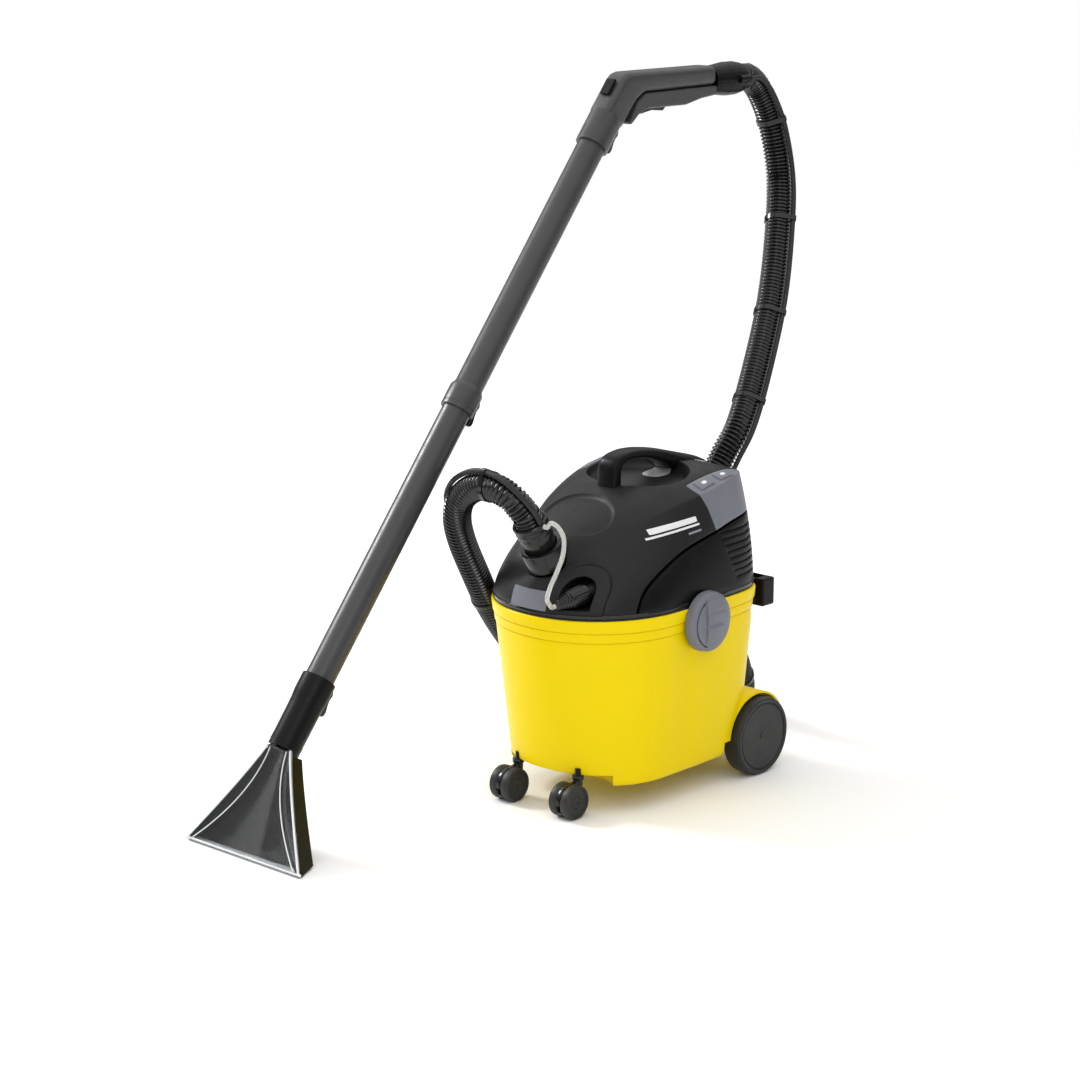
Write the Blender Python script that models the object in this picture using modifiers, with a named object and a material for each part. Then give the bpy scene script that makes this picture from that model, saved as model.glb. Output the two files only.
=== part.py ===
"""Two-tank spray extraction cleaner with its suction hose, wand, hand grip and floor nozzle.

Machine axes while modelling: -Y is the front, +Z is up, x = 0 is the machine's centre line
and z = 0 is the floor. The last step moves the whole set so that the origin is the bottom
centre of the box round every piece but the hoses. All lengths are in metres.
"""
from math import atan2, cos, pi, radians, sin, tan

import bmesh
import bpy
from mathutils import Matrix, Vector

NAME = "spray_extraction_cleaner"
GAP = 0.0003                      # clearance between touching pieces
WALL = 0.0028                     # moulded wall thickness
RING_POINTS = 48                  # points round each lofted section

# Container
TANK_BOTTOM_Z = 0.037
TANK_RIM_Z = 0.266
TANK_MID_Y = -0.050               # where the rounded front meets the straight sides
TANK_BOTTOM = (0.117, 0.108, 0.183)   # half width, reach to the front, reach to the rear
TANK_RIM = (0.1345, 0.140, 0.195)
RIM_STEPS = (0.237, 0.250)        # heights of the two steps of the rim band
RIM_BAND_PROUD = 0.0022
TANK_FLOOR_Z = 0.064
UNDERSIDE_Z = 0.0585
FRONT_EXPONENT = 2.1              # roundness of the front
REAR_EXPONENT = 6.0               # squareness of the rear corners

# Rear wheels
WHEEL_Y = 0.140
WHEEL_RADIUS = 0.0535
WHEEL_INNER_X = 0.1010
WHEEL_OUTER_X = 0.1300
AXLE_RADIUS = 0.0040
ARCH_RADIUS = WHEEL_RADIUS + 0.0065

# Castors
CASTOR_X = 0.0525
CASTOR_Y = -0.150
CASTOR_RADIUS = 0.0225
CASTOR_TRAIL = 0.018
CASTOR_SWEEP = 0.0455             # radius kept clear round each swivel
CASTOR_CEILING_Z = 0.0535

# Latches
LATCH_Y = 0.0
LATCH_Z = 0.245
LATCH_RADIUS = 0.040
LATCH_INNER_X = 0.1378
LATCH_THICKNESS = 0.017
LATCH_PIVOT_X = 0.1425
LATCH_PIVOT_Z = 0.2120

# Head
HEAD_BASE_Z = 0.2683
HEAD_BASE = (0.1345, 0.140, 0.195)
HEAD_CREASE = (0.112, 0.118, 0.185)
SPINE_HEIGHTS = [(-0.168, 0.342), (-0.150, 0.356), (-0.120, 0.377), (-0.090, 0.394), (-0.050, 0.410),
                 (0.0, 0.4215), (0.050, 0.4265), (0.100, 0.4270), (0.135, 0.4180)]
CREASE_HEIGHTS = [(-0.168, 0.338), (-0.150, 0.352), (-0.120, 0.373), (-0.090, 0.386), (-0.050, 0.3945),
                  (0.030, 0.4055), (0.100, 0.4175), (0.135, 0.4170)]
TOP_FULLNESS = 6.0                # how far the flat of the top reaches out to its edges
HAND_WELL = ((0.0, 0.026), (0.076, 0.058), 0.016)     # centre, half widths and depth
FRONT_DISH = ((0.0, -0.095), (0.058, 0.036), 0.005)
SHELL_SPLIT = [(-0.117, 0.255), (-0.112, 0.276), (-0.098, 0.298), (-0.068, 0.318), (-0.020, 0.338),
               (0.040, 0.353), (0.090, 0.363), (0.200, 0.372), (0.200, 0.255)]
TOP_SHARES = (0.985, 0.90, 0.80, 0.66, 0.50, 0.34, 0.18, 0.05)   # rings of the top, towards its middle
CORNER_X = 0.086
CORNER_FRONT = [(0.018, 0.445), (0.021, 0.408), (0.031, 0.385), (0.043, 0.340)]
BUTTON_LOW_X = 0.0905
BUTTON_HIGH_X = 0.1055
BUTTON_LENGTH = 0.026
BUTTON_CENTRES_Y = (0.044, 0.082)
HANDLE_HALF_WIDTH = 0.0165

# Front of the head
INLET_POINT = (0.0, -0.162, 0.350)
INLET_AXIS = (-0.05, -0.50, 0.86)
INLET_RADIUS = 0.0290
CUFF_RADIUS = 0.0215
COUPLING_X = 0.063
COUPLING_Z = 0.300
COUPLING_HOLE_RADIUS = 0.0265
COLLAR_POINT = (0.0640, -0.1480, 0.2980)
COLLAR_AXIS = (-0.37, -0.885, -0.28)

# Wand, in its own frame: x across, y to the rear of the tube, z up the tube
WAND_X = -0.142
WAND_FOOT_Y = -0.586
WAND_LEAN = radians(39.2)
TUBE_RADIUS = 0.01925
TUBE_BORE = 0.0175
SOCKET_BORE = 0.0196
COLLAR_RADIUS = 0.0228
NECK_START = 0.165
NECK_END = 0.261
LOWER_TUBE = (0.208, 0.684)
UPPER_TUBE_START = 0.657
UPPER_TUBE_END = 1.098
GRIP_SOCKET_START = 1.072

# Floor nozzle, in its own frame: x across, y to the rear, z up the cover
LIP_Y = -0.556
NOZZLE_LEAN = radians(28.0)
LIP_HALF_WIDTH = 0.106
NOZZLE_DEPTH = 0.032
NOZZLE_HEIGHT = 0.146

# Grip
GRIP_HALF_WIDTH = 0.018
GRIP_AXIS_Z = 0.905
GRIP_END_Y = 0.336
SWIVEL_END_Y = 0.400

# Hoses
HOSE_RADIUS = 0.019
LINE_RADIUS = 0.0035
LINE_OFFSET = HOSE_RADIUS + LINE_RADIUS + 0.0008
FLANGE_RADIUS = LINE_OFFSET + LINE_RADIUS + 0.0015
CUFF_END = 0.0435                 # from the inlet point to the hose's end of the cuff
CLEAR_TUBE_RADIUS = 0.0030
HOSE_ROUTE = [(-0.0140, -0.2040, 0.4190),
              (-0.0400, -0.2080, 0.4290), (-0.0740, -0.2050, 0.4240), (-0.1050, -0.2000, 0.4040),
              (-0.1240, -0.1890, 0.3740), (-0.1350, -0.1690, 0.3370), (-0.1430, -0.1350, 0.2840),
              (-0.1540, -0.0950, 0.2300), (-0.1680, -0.0400, 0.1720), (-0.1790, 0.0200, 0.1180),
              (-0.1860, 0.0800, 0.0720), (-0.1870, 0.1440, 0.0380), (-0.1790, 0.2060, 0.0220),
              (-0.1600, 0.2640, 0.0203), (-0.1270, 0.3100, 0.0203), (-0.0850, 0.3320, 0.0240),
              (-0.0500, 0.3180, 0.0450), (-0.0280, 0.2820, 0.0880), (-0.0200, 0.2460, 0.1480),
              (-0.0210, 0.2200, 0.2200), (-0.0270, 0.2080, 0.2950), (-0.0290, 0.2120, 0.3600),
              (-0.0200, 0.2300, 0.4050), (-0.0160, 0.2580, 0.4420),
              (-0.0360, 0.3140, 0.5000), (-0.0700, 0.3920, 0.5900), (-0.1000, 0.4460, 0.6750),
              (-0.1250, 0.4810, 0.7560), (-0.1380, 0.4780, 0.8320), (-0.1420, 0.4530, 0.8830),
              (-0.1420, 0.4270, 0.9036)]
LINE_SIDES = [(0.02, (1.0, -0.3, 0.3)), (0.07, (0.3, -0.3, 1.0)), (0.20, (-1.0, -0.3, 0.3)), (0.40, (-1.0, 0.2, 0.2)),
              (0.50, (-0.4, 1.0, 0.3)), (0.57, (0.5, 1.0, 0.3)), (0.64, (1.0, 0.5, 0.2)), (0.97, (1.0, 0.0, 0.0))]
CLEAR_ROUTE = [(0.0400, -0.1880, 0.3920), (0.0520, -0.1870, 0.3870), (0.0620, -0.1890, 0.3750),
               (0.0670, -0.1960, 0.3570), (0.0650, -0.2050, 0.3360), (0.0590, -0.2110, 0.3160),
               (0.0530, -0.2100, 0.3000), (0.0490, -0.2010, 0.2900)]

FINISHES = {
    "yellow": ((0.95, 0.78, 0.02), 0.25, 0.0),
    "black": ((0.02, 0.02, 0.021), 0.42, 0.0),
    "dark_grey": ((0.045, 0.046, 0.050), 0.45, 0.0),
    "blue_grey": ((0.13, 0.14, 0.17), 0.45, 0.0),
    "clear": ((0.75, 0.77, 0.78), 0.08, 0.0),
    "steel": ((0.60, 0.60, 0.60), 0.30, 1.0),
    "orange": ((0.90, 0.30, 0.05), 0.55, 0.0),
    "paper": ((0.78, 0.68, 0.42), 0.90, 0.0),
    "white": ((0.85, 0.85, 0.85), 0.50, 0.0),
    "rubber": ((0.015, 0.015, 0.015), 0.85, 0.0),
}


# ---------------------------------------------------------------- scene and helpers

def clear_scene():
    for item in list(bpy.data.objects):
        bpy.data.objects.remove(item, do_unlink=True)


def new_collection(name):
    collection = bpy.data.collections.new(name)
    bpy.context.scene.collection.children.link(collection)
    return collection


def new_empty(name, location=(0, 0, 0), rotation=(0, 0, 0), parent=None):
    empty = bpy.data.objects.new(name, None)
    empty.location = location
    empty.rotation_euler = rotation
    empty.parent = parent
    PARTS.objects.link(empty)
    return empty


def make_material(name, finish):
    colour, roughness, metallic = FINISHES[finish]
    material = bpy.data.materials.new(name)
    material.use_nodes = True
    shader = material.node_tree.nodes["Principled BSDF"]
    shader.inputs["Base Color"].default_value = (*colour, 1.0)
    shader.inputs["Roughness"].default_value = roughness
    shader.inputs["Metallic"].default_value = metallic
    return material


def shade(mesh, angle=35.0):
    mesh.shade_smooth()
    mesh.set_sharp_from_angle(angle=radians(angle))


def place(obj, parent, collection):
    collection.objects.link(obj)
    obj.parent = parent
    return obj


def add_mesh(name, mesh, finish=None, parent=None):
    """Link a mesh as a part with its finish, or as a cutter when it has none."""
    shade(mesh)
    obj = bpy.data.objects.new(name, mesh)
    if finish is None:
        place(obj, parent or ORIGIN, CUTTERS)
        obj.hide_render = True
        obj.display_type = "WIRE"
    else:
        place(obj, parent or ORIGIN, PARTS)
        mesh.materials.append(make_material(name + "_finish", finish))
    return obj


def mesh_from_bmesh(name, bm):
    bmesh.ops.recalc_face_normals(bm, faces=bm.faces[:])
    mesh = bpy.data.meshes.new(name)
    bm.to_mesh(mesh)
    bm.free()
    return mesh


def bevel(obj, width, segments=2, angle=40.0):
    modifier = obj.modifiers.new("rounded_edges", "BEVEL")
    modifier.width = width
    modifier.segments = segments
    modifier.limit_method = "ANGLE"
    modifier.angle_limit = radians(angle)


def combine(obj, other, operation="DIFFERENCE"):
    modifier = obj.modifiers.new(other.name, "BOOLEAN")
    modifier.operation = operation
    modifier.object = other
    return obj


def box(name, low, high, finish=None, parent=None, rounding=0.0):
    bm = bmesh.new()
    bmesh.ops.create_cube(bm, size=1.0)
    size = [b - a for a, b in zip(low, high)]
    centre = [(a + b) / 2 for a, b in zip(low, high)]
    bmesh.ops.scale(bm, vec=size, verts=bm.verts)
    bmesh.ops.translate(bm, vec=centre, verts=bm.verts)
    obj = add_mesh(name, mesh_from_bmesh(name, bm), finish, parent)
    if rounding:
        bevel(obj, rounding)
    return obj


def cylinder(name, radius, start, end, finish=None, parent=None, segments=32, end_radius=None):
    start, end = Vector(start), Vector(end)
    bm = bmesh.new()
    turn = (end - start).to_track_quat("Z", "Y").to_matrix().to_4x4()
    middle = Matrix.Translation((start + end) / 2)
    bmesh.ops.create_cone(bm, cap_ends=True, segments=segments, radius1=radius,
                          radius2=radius if end_radius is None else end_radius,
                          depth=(end - start).length, matrix=middle @ turn)
    return add_mesh(name, mesh_from_bmesh(name, bm), finish, parent)


def turned(name, profile, finish=None, parent=None, location=(0, 0, 0), axis=(0, 0, 1), steps=28, closed=True):
    """Turn a profile of (radius, height) points, listed down its outer side, about an axis."""
    bm = bmesh.new()
    verts = [bm.verts.new((radius, 0.0, height)) for radius, height in profile]
    for first, second in zip(verts, verts[1:]):
        bm.edges.new((first, second))
    if closed:
        bm.edges.new((verts[-1], verts[0]))
    mesh = bpy.data.meshes.new(name)
    bm.to_mesh(mesh)
    bm.free()
    obj = add_mesh(name, mesh, finish, parent)
    screw = obj.modifiers.new("turn", "SCREW")
    screw.steps = steps
    screw.render_steps = steps
    screw.use_merge_vertices = True
    screw.merge_threshold = 0.00005
    screw.use_smooth_shade = True
    obj.location = location
    obj.rotation_mode = "QUATERNION"
    obj.rotation_quaternion = Vector(axis).to_track_quat("Z", "Y")
    return obj


def loft(name, rings, finish=None, parent=None):
    """Join rings of equal length into a closed solid with flat end caps."""
    bm = bmesh.new()
    rows = [[bm.verts.new(point) for point in ring] for ring in rings]
    count = len(rows[0])
    for low, high in zip(rows, rows[1:]):
        for i in range(count):
            j = (i + 1) % count
            bm.faces.new((low[i], low[j], high[j], high[i]))
    bm.faces.new(rows[0][::-1])
    bm.faces.new(rows[-1])
    return add_mesh(name, mesh_from_bmesh(name, bm), finish, parent)


def band(name, outer, inner, low_z, high_z, finish, parent=None):
    """A flat ring between two plan outlines."""
    bm = bmesh.new()
    rows = []
    for outline, z in ((outer, low_z), (outer, high_z), (inner, high_z), (inner, low_z)):
        rows.append([bm.verts.new((x, y, z)) for x, y in outline])
    count = len(outer)
    for k in range(4):
        low, high = rows[k], rows[(k + 1) % 4]
        for i in range(count):
            j = (i + 1) % count
            bm.faces.new((low[i], low[j], high[j], high[i]))
    return add_mesh(name, mesh_from_bmesh(name, bm), finish, parent)


def mesh_from_curve(curve_object):
    """Evaluate a curve to a welded mesh, keep its place, and remove the curve."""
    bpy.context.view_layer.update()
    evaluated = curve_object.evaluated_get(bpy.context.evaluated_depsgraph_get())
    mesh = bpy.data.meshes.new_from_object(evaluated)
    bm = bmesh.new()
    bm.from_mesh(mesh)
    bm.transform(curve_object.matrix_local)
    bmesh.ops.remove_doubles(bm, verts=bm.verts, dist=0.00001)
    bmesh.ops.recalc_face_normals(bm, faces=bm.faces[:])
    bm.to_mesh(mesh)
    bm.free()
    bpy.data.objects.remove(curve_object, do_unlink=True)
    mesh.materials.clear()
    return mesh


SIDE_VIEW = Matrix(((0, 0, 1, 0), (1, 0, 0, 0), (0, 1, 0, 0), (0, 0, 0, 1)))
FRONT_VIEW = Matrix(((1, 0, 0, 0), (0, 0, -1, 0), (0, 1, 0, 0), (0, 0, 0, 1)))


def slab(name, outline, low, high, view, finish=None, parent=None, rounding=0.0):
    """A flat outline given thickness: y, z outlines run along x, and x, z outlines along y."""
    curve = bpy.data.curves.new(name, "CURVE")
    curve.dimensions = "2D"
    curve.fill_mode = "BOTH"
    curve.extrude = (high - low) / 2
    spline = curve.splines.new("POLY")
    spline.points.add(len(outline) - 1)
    for point, (u, v) in zip(spline.points, outline):
        point.co = (u, v, 0.0, 1.0)
    spline.use_cyclic_u = True
    obj = bpy.data.objects.new(name + "_curve", curve)
    CUTTERS.objects.link(obj)
    middle = (low + high) / 2
    shift = (middle, 0, 0) if view is SIDE_VIEW else (0, middle, 0)
    obj.matrix_world = Matrix.Translation(shift) @ view
    part = add_mesh(name, mesh_from_curve(obj), finish, parent)
    if rounding:
        bevel(part, rounding)
    return part


def smooth_route(points, count):
    """Evenly spaced points on a smooth curve through the given ones."""
    points = [Vector(p) for p in points]
    padded = [2 * points[0] - points[1]] + points + [2 * points[-1] - points[-2]]
    dense = []
    for a, b, c, d in zip(padded, padded[1:], padded[2:], padded[3:]):
        for step in range(16):
            t = step / 16
            dense.append(0.5 * (2 * b + (c - a) * t + (2 * a - 5 * b + 4 * c - d) * t ** 2
                                + (3 * b - a - 3 * c + d) * t ** 3))
    dense.append(points[-1])
    lengths = [0.0]
    for a, b in zip(dense, dense[1:]):
        lengths.append(lengths[-1] + (b - a).length)
    route = []
    k = 0
    for i in range(count):
        target = lengths[-1] * i / (count - 1)
        while k < len(dense) - 2 and lengths[k + 1] < target:
            k += 1
        t = (target - lengths[k]) / (lengths[k + 1] - lengths[k])
        route.append(dense[k].lerp(dense[k + 1], t))
    return route


def flexible_tube(name, route, radius, resolution, finish):
    curve = bpy.data.curves.new(name, "CURVE")
    curve.dimensions = "3D"
    curve.bevel_depth = radius
    curve.bevel_resolution = resolution
    curve.use_fill_caps = True
    spline = curve.splines.new("POLY")
    spline.points.add(len(route) - 1)
    for point, place_at in zip(spline.points, route):
        point.co = (*place_at, 1.0)
    curve.materials.append(make_material(name + "_finish", finish))
    obj = bpy.data.objects.new(name, curve)
    return place(obj, ORIGIN, PARTS)


def interpolate(table, value):
    if value <= table[0][0]:
        return table[0][1]
    for (low, at_low), (high, at_high) in zip(table, table[1:]):
        if value <= high:
            return at_low + (at_high - at_low) * (value - low) / (high - low)
    return table[-1][1]


# ---------------------------------------------------------------- plan outlines

def power(value, exponent):
    return (1 if value >= 0 else -1) * abs(value) ** exponent


def plan_point(angle, size, inset=0.0):
    """A point of the rounded-front, square-rear outline that the tank and head share."""
    half_width, front, rear = (value - inset for value in size)
    exponent = 2 / FRONT_EXPONENT if sin(angle) < 0 else 2 / REAR_EXPONENT
    reach = front if sin(angle) < 0 else rear
    return half_width * power(cos(angle), exponent), TANK_MID_Y + reach * power(sin(angle), exponent)


def even_angles(count):
    """Angles that space the outline's points evenly along it."""
    dense = [2 * pi * i / 2880 for i in range(2881)]
    points = [Vector(plan_point(a, TANK_RIM)) for a in dense]
    lengths = [0.0]
    for a, b in zip(points, points[1:]):
        lengths.append(lengths[-1] + (b - a).length)
    angles = []
    k = 0
    for i in range(count):
        while lengths[k + 1] <= lengths[-1] * i / count:
            k += 1
        angles.append(dense[k])
    return angles


ANGLES = even_angles(RING_POINTS)


def plan_outline(size, inset=0.0):
    return [plan_point(angle, size, inset) for angle in ANGLES]


def plan_ring(size, z, inset=0.0):
    return [(x, y, z) for x, y in plan_outline(size, inset)]


def tank_size(z):
    share = (z - TANK_BOTTOM_Z) / (TANK_RIM_Z - TANK_BOTTOM_Z)
    return tuple(low + (high - low) * share for low, high in zip(TANK_BOTTOM, TANK_RIM))


# ---------------------------------------------------------------- container

def tank_solid(name, low_z, high_z, inset, finish=None):
    rings = [plan_ring(tank_size(z), z, inset) for z in (low_z, (low_z + high_z) / 2, high_z)]
    return loft(name, rings, finish)


def build_container():
    low_step, high_step = RIM_STEPS
    levels = [(TANK_BOTTOM_Z, 0.004), (TANK_BOTTOM_Z + 0.004, 0.0), (0.150, 0.0), (low_step - 0.0012, 0.0),
              (low_step, -RIM_BAND_PROUD / 2), (high_step - 0.0012, -RIM_BAND_PROUD / 2),
              (high_step, -RIM_BAND_PROUD), (TANK_RIM_Z - 0.001, -RIM_BAND_PROUD), (TANK_RIM_Z, 0.0)]
    container = loft("container", [plan_ring(tank_size(z), z, inset) for z, inset in levels], "yellow")
    arch_x = WHEEL_OUTER_X - 0.012
    combine(container, cylinder("arch_form", ARCH_RADIUS, (-arch_x, WHEEL_Y, WHEEL_RADIUS),
                                (arch_x, WHEEL_Y, WHEEL_RADIUS), segments=48), "UNION")
    for side in (-1, 1):
        low_x, high_x = sorted((side * 0.130, side * 0.1465))
        combine(container, box(f"latch_lug_form_{side}", (low_x, -0.0165, 0.208), (high_x, 0.0165, 0.216)), "UNION")
    combine(container, cavity_cutter())
    combine(container, box("underside_cutter", (-0.098, -0.098, 0.020), (0.098, 0.074, UNDERSIDE_Z)))
    combine(container, box("castor_bay_cutter", (-CASTOR_X, -0.210, 0.020), (CASTOR_X, -0.112, CASTOR_CEILING_Z)))
    for side in (-1, 1):
        recess = cylinder(f"wheel_recess_cutter_{side}", WHEEL_RADIUS + 0.0035, (side * 0.0985, WHEEL_Y, WHEEL_RADIUS),
                          (side * 0.160, WHEEL_Y, WHEEL_RADIUS), segments=48)
        combine(container, recess)
        low_x, high_x = sorted((side * 0.0978, side * 0.160))
        combine(container, box(f"arch_trim_cutter_{side}", (low_x, WHEEL_Y - 0.01, 0.0), (high_x, 0.230, 0.080)))
        low_x, high_x = sorted((side * 0.0970, side * 0.165))
        combine(container, box(f"arch_foot_cutter_{side}", (low_x, WHEEL_Y - 0.070, -0.01), (high_x, 0.235, 0.058)))
        combine(container, cylinder(f"castor_sweep_cutter_{side}", CASTOR_SWEEP, (side * CASTOR_X, CASTOR_Y, 0.020),
                                    (side * CASTOR_X, CASTOR_Y, CASTOR_CEILING_Z), segments=40))
        combine(container, cylinder(f"castor_bore_cutter_{side}", 0.0043, (side * CASTOR_X, CASTOR_Y, 0.04),
                                    (side * CASTOR_X, CASTOR_Y, 0.0622), segments=20))
        low_x, high_x = sorted((side * 0.1368, side * 0.16))
        combine(container, box(f"knuckle_cutter_{side}", (low_x, -0.0108, 0.20), (high_x, 0.0108, 0.2185)))
        combine(container, cylinder(f"latch_pin_cutter_{side}", 0.0023, (side * LATCH_PIVOT_X, -0.03, LATCH_PIVOT_Z),
                                    (side * LATCH_PIVOT_X, 0.03, LATCH_PIVOT_Z), segments=16))
    combine(container, box("rear_floor_cutter", (-0.0972, WHEEL_Y - 0.064, -0.02), (0.0972, 0.240, 0.038)))
    combine(container, cylinder("axle_bore_cutter", AXLE_RADIUS + GAP, (-0.14, WHEEL_Y, WHEEL_RADIUS),
                                (0.14, WHEEL_Y, WHEEL_RADIUS), segments=24))


def cavity_cutter():
    """The inside of the container, narrowed beside the two wheel arches."""
    cavity = tank_solid("cavity_cutter", TANK_FLOOR_Z, TANK_RIM_Z + 0.004, WALL)
    for side in (-1, 1):
        low_x, high_x = sorted((side * 0.0950, side * 0.160))
        combine(cavity, box(f"arch_clearance_{side}", (low_x, WHEEL_Y - 0.066, 0.05), (high_x, 0.20, 0.1175)))
    return cavity


def build_waste_tank():
    """The lift-out tank for recovered water, standing in the front of the container."""
    def section(z, inset):
        half_width, front, _ = tank_size(z)
        return plan_ring((half_width - 0.012, front - 0.012, 0.115), z, inset)[::2]

    tank = loft("waste_tank", [section(z, 0.0) for z in (TANK_FLOOR_Z + GAP, 0.13, 0.200)], "blue_grey")
    combine(tank, loft("waste_tank_cutter", [section(z, WALL) for z in (TANK_FLOOR_Z + 0.003, 0.13, 0.210)]))


def build_rim_seal():
    size = tank_size(TANK_RIM_Z)
    band("rim_seal", plan_outline(size, 0.0004), plan_outline(size, 0.0026), TANK_RIM_Z + GAP,
         HEAD_BASE_Z - GAP, "rubber")


def wheel_profile(radius, width, bore, blind):
    """A disc with rounded tread and a blind bore from its inner face, from outer face down."""
    edge = radius * 0.12
    return [(0.0, width), (radius - 2.2 * edge, width), (radius - edge, width - 0.0015), (radius, width - edge),
            (radius, edge), (radius - edge, 0.0), (bore, 0.0), (bore, blind), (0.0, blind)]


def build_rear_wheels():
    cylinder("rear_axle", AXLE_RADIUS, (-0.1280, WHEEL_Y, WHEEL_RADIUS), (0.1280, WHEEL_Y, WHEEL_RADIUS), "steel",
             segments=24)
    width = WHEEL_OUTER_X - WHEEL_INNER_X
    profile = wheel_profile(WHEEL_RADIUS, width, AXLE_RADIUS + GAP, 0.1284 - WHEEL_INNER_X)
    for name, side in (("rear_wheel_left", -1), ("rear_wheel_right", 1)):
        turned(name, profile, "black", location=(side * WHEEL_INNER_X, WHEEL_Y, WHEEL_RADIUS), axis=(side, 0, 0),
               steps=32, closed=False)


def build_castor(label, x):
    """A twin-wheel castor: stem, middle web, axle and two wheels that trail to the front."""
    wheel_y = CASTOR_Y - CASTOR_TRAIL
    fork = cylinder(f"castor_fork_{label}", 0.0040, (x, CASTOR_Y, 0.0380), (x, CASTOR_Y, 0.0620), "black", segments=20)
    combine(fork, cylinder(f"castor_flange_form_{label}", 0.0075, (x, CASTOR_Y, 0.0475),
                           (x, CASTOR_Y, CASTOR_CEILING_Z - GAP), segments=20), "UNION")
    combine(fork, cylinder(f"castor_web_form_{label}", 0.0205, (x - 0.0032, wheel_y, CASTOR_RADIUS),
                           (x + 0.0032, wheel_y, CASTOR_RADIUS), segments=24), "UNION")
    combine(fork, box(f"castor_neck_form_{label}", (x - 0.0032, CASTOR_Y - 0.012, 0.028),
                      (x + 0.0032, CASTOR_Y + 0.004, 0.048)), "UNION")
    combine(fork, cylinder(f"castor_axle_cutter_{label}", 0.0026, (x - 0.03, wheel_y, CASTOR_RADIUS),
                           (x + 0.03, wheel_y, CASTOR_RADIUS), segments=16))
    cylinder(f"castor_axle_{label}", 0.0023, (x - 0.0148, wheel_y, CASTOR_RADIUS), (x + 0.0148, wheel_y, CASTOR_RADIUS),
             "steel", segments=16)
    profile = wheel_profile(CASTOR_RADIUS, 0.0129, 0.0026, 0.0117)
    for side_name, side in (("inner", -1), ("outer", 1)):
        turned(f"castor_wheel_{label}_{side_name}", profile, "black",
               location=(x + side * 0.0036, wheel_y, CASTOR_RADIUS), axis=(side, 0, 0), steps=18, closed=False)


def build_latch(label, side):
    """A round side clip that swings out about a pin under it."""
    inner, outer = side * LATCH_INNER_X, side * (LATCH_INNER_X + LATCH_THICKNESS)
    latch = cylinder(f"latch_{label}", LATCH_RADIUS, (inner, LATCH_Y, LATCH_Z), (outer, LATCH_Y, LATCH_Z),
                     "blue_grey", segments=40, end_radius=LATCH_RADIUS - 0.004)
    low_x, high_x = sorted((side * 0.130, side * (LATCH_PIVOT_X + 0.0065)))
    combine(latch, box(f"latch_pocket_cutter_{label}", (low_x, -0.0175, 0.195), (high_x, 0.0175, 0.2195)))
    low_x, high_x = sorted((side * (LATCH_PIVOT_X - 0.0035), side * (LATCH_PIVOT_X + 0.0055)))
    combine(latch, box(f"latch_tab_form_{label}", (low_x, -0.0100, 0.2120), (high_x, 0.0100, 0.2250)), "UNION")
    knuckle = cylinder(f"latch_knuckle_form_{label}", 0.0045, (side * LATCH_PIVOT_X, -0.0100, LATCH_PIVOT_Z),
                       (side * LATCH_PIVOT_X, 0.0100, LATCH_PIVOT_Z), segments=20)
    combine(latch, knuckle, "UNION")
    low_x, high_x = sorted((side * 0.1530, side * 0.1580))
    combine(latch, box(f"latch_lever_form_{label}", (low_x, -0.0150, 0.2200), (high_x, 0.0150, 0.2680)), "UNION")
    combine(latch, cylinder(f"latch_bore_cutter_{label}", 0.0023, (side * LATCH_PIVOT_X, -0.02, LATCH_PIVOT_Z),
                            (side * LATCH_PIVOT_X, 0.02, LATCH_PIVOT_Z), segments=16))
    cylinder(f"latch_pin_{label}", 0.0020, (side * LATCH_PIVOT_X, -0.0160, LATCH_PIVOT_Z),
             (side * LATCH_PIVOT_X, 0.0160, LATCH_PIVOT_Z), "steel", segments=16)


# ---------------------------------------------------------------- head

def crease_half_width(y):
    half_width, front, rear = HEAD_CREASE
    reach, exponent = (front, FRONT_EXPONENT) if y < TANK_MID_Y else (rear, REAR_EXPONENT)
    share = min(1.0, abs(y - TANK_MID_Y) / reach)
    return half_width * (1 - share ** exponent) ** (1 / exponent)


def dent(x, y, hollow):
    """The depth at a point of an oval hollow with a clear rim and a flat floor."""
    centre, radii, depth = hollow
    distance = ((x - centre[0]) / radii[0]) ** 2 + ((y - centre[1]) / radii[1]) ** 2
    share = min(1.0, max(0.0, (1 - distance) / 0.45))
    return depth * share * (2 - share)


def head_height(x, y):
    """The top surface: a spine line and an edge line joined by a flat curve, with two hollows."""
    edge = interpolate(CREASE_HEIGHTS, y)
    spine = interpolate(SPINE_HEIGHTS, y)
    across = min(1.0, abs(x) / max(crease_half_width(y), 0.004))
    height = edge + (spine - edge) * (1 - across ** TOP_FULLNESS)
    return height - dent(x, y, HAND_WELL) - dent(x, y, FRONT_DISH)


def head_solid(name, inset, base_z=HEAD_BASE_Z, finish=None):
    """The head's outer form, or a form inside or outside it by the inset."""
    rings = [plan_ring(HEAD_BASE, base_z, inset)]
    for share in (0.30, 0.60, 0.85, 0.97):
        size = [low + (high - low) * share ** 1.4 for low, high in zip(HEAD_BASE, HEAD_CREASE)]
        ring = []
        for angle in ANGLES:
            x, y = plan_point(angle, size, inset)
            edge_x, edge_y = plan_point(angle, HEAD_CREASE)
            top = head_height(edge_x, edge_y)
            ring.append((x, y, base_z + (top - inset - base_z) * share))
        rings.append(ring)
    for share in TOP_SHARES:
        ring = []
        for angle in ANGLES:
            edge_x, edge_y = plan_point(angle, HEAD_CREASE)
            x, y = edge_x * share, edge_y * share
            scale = 1 - inset / HEAD_CREASE[0]
            ring.append((x * scale, y * scale, head_height(x, y) - inset))
        rings.append(ring)
    return loft(name, rings, finish)


def split_cutter(name, gap):
    outline = [(y + gap, z - gap) for y, z in SHELL_SPLIT]
    return slab(name, outline, -0.2, 0.2, SIDE_VIEW)


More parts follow.
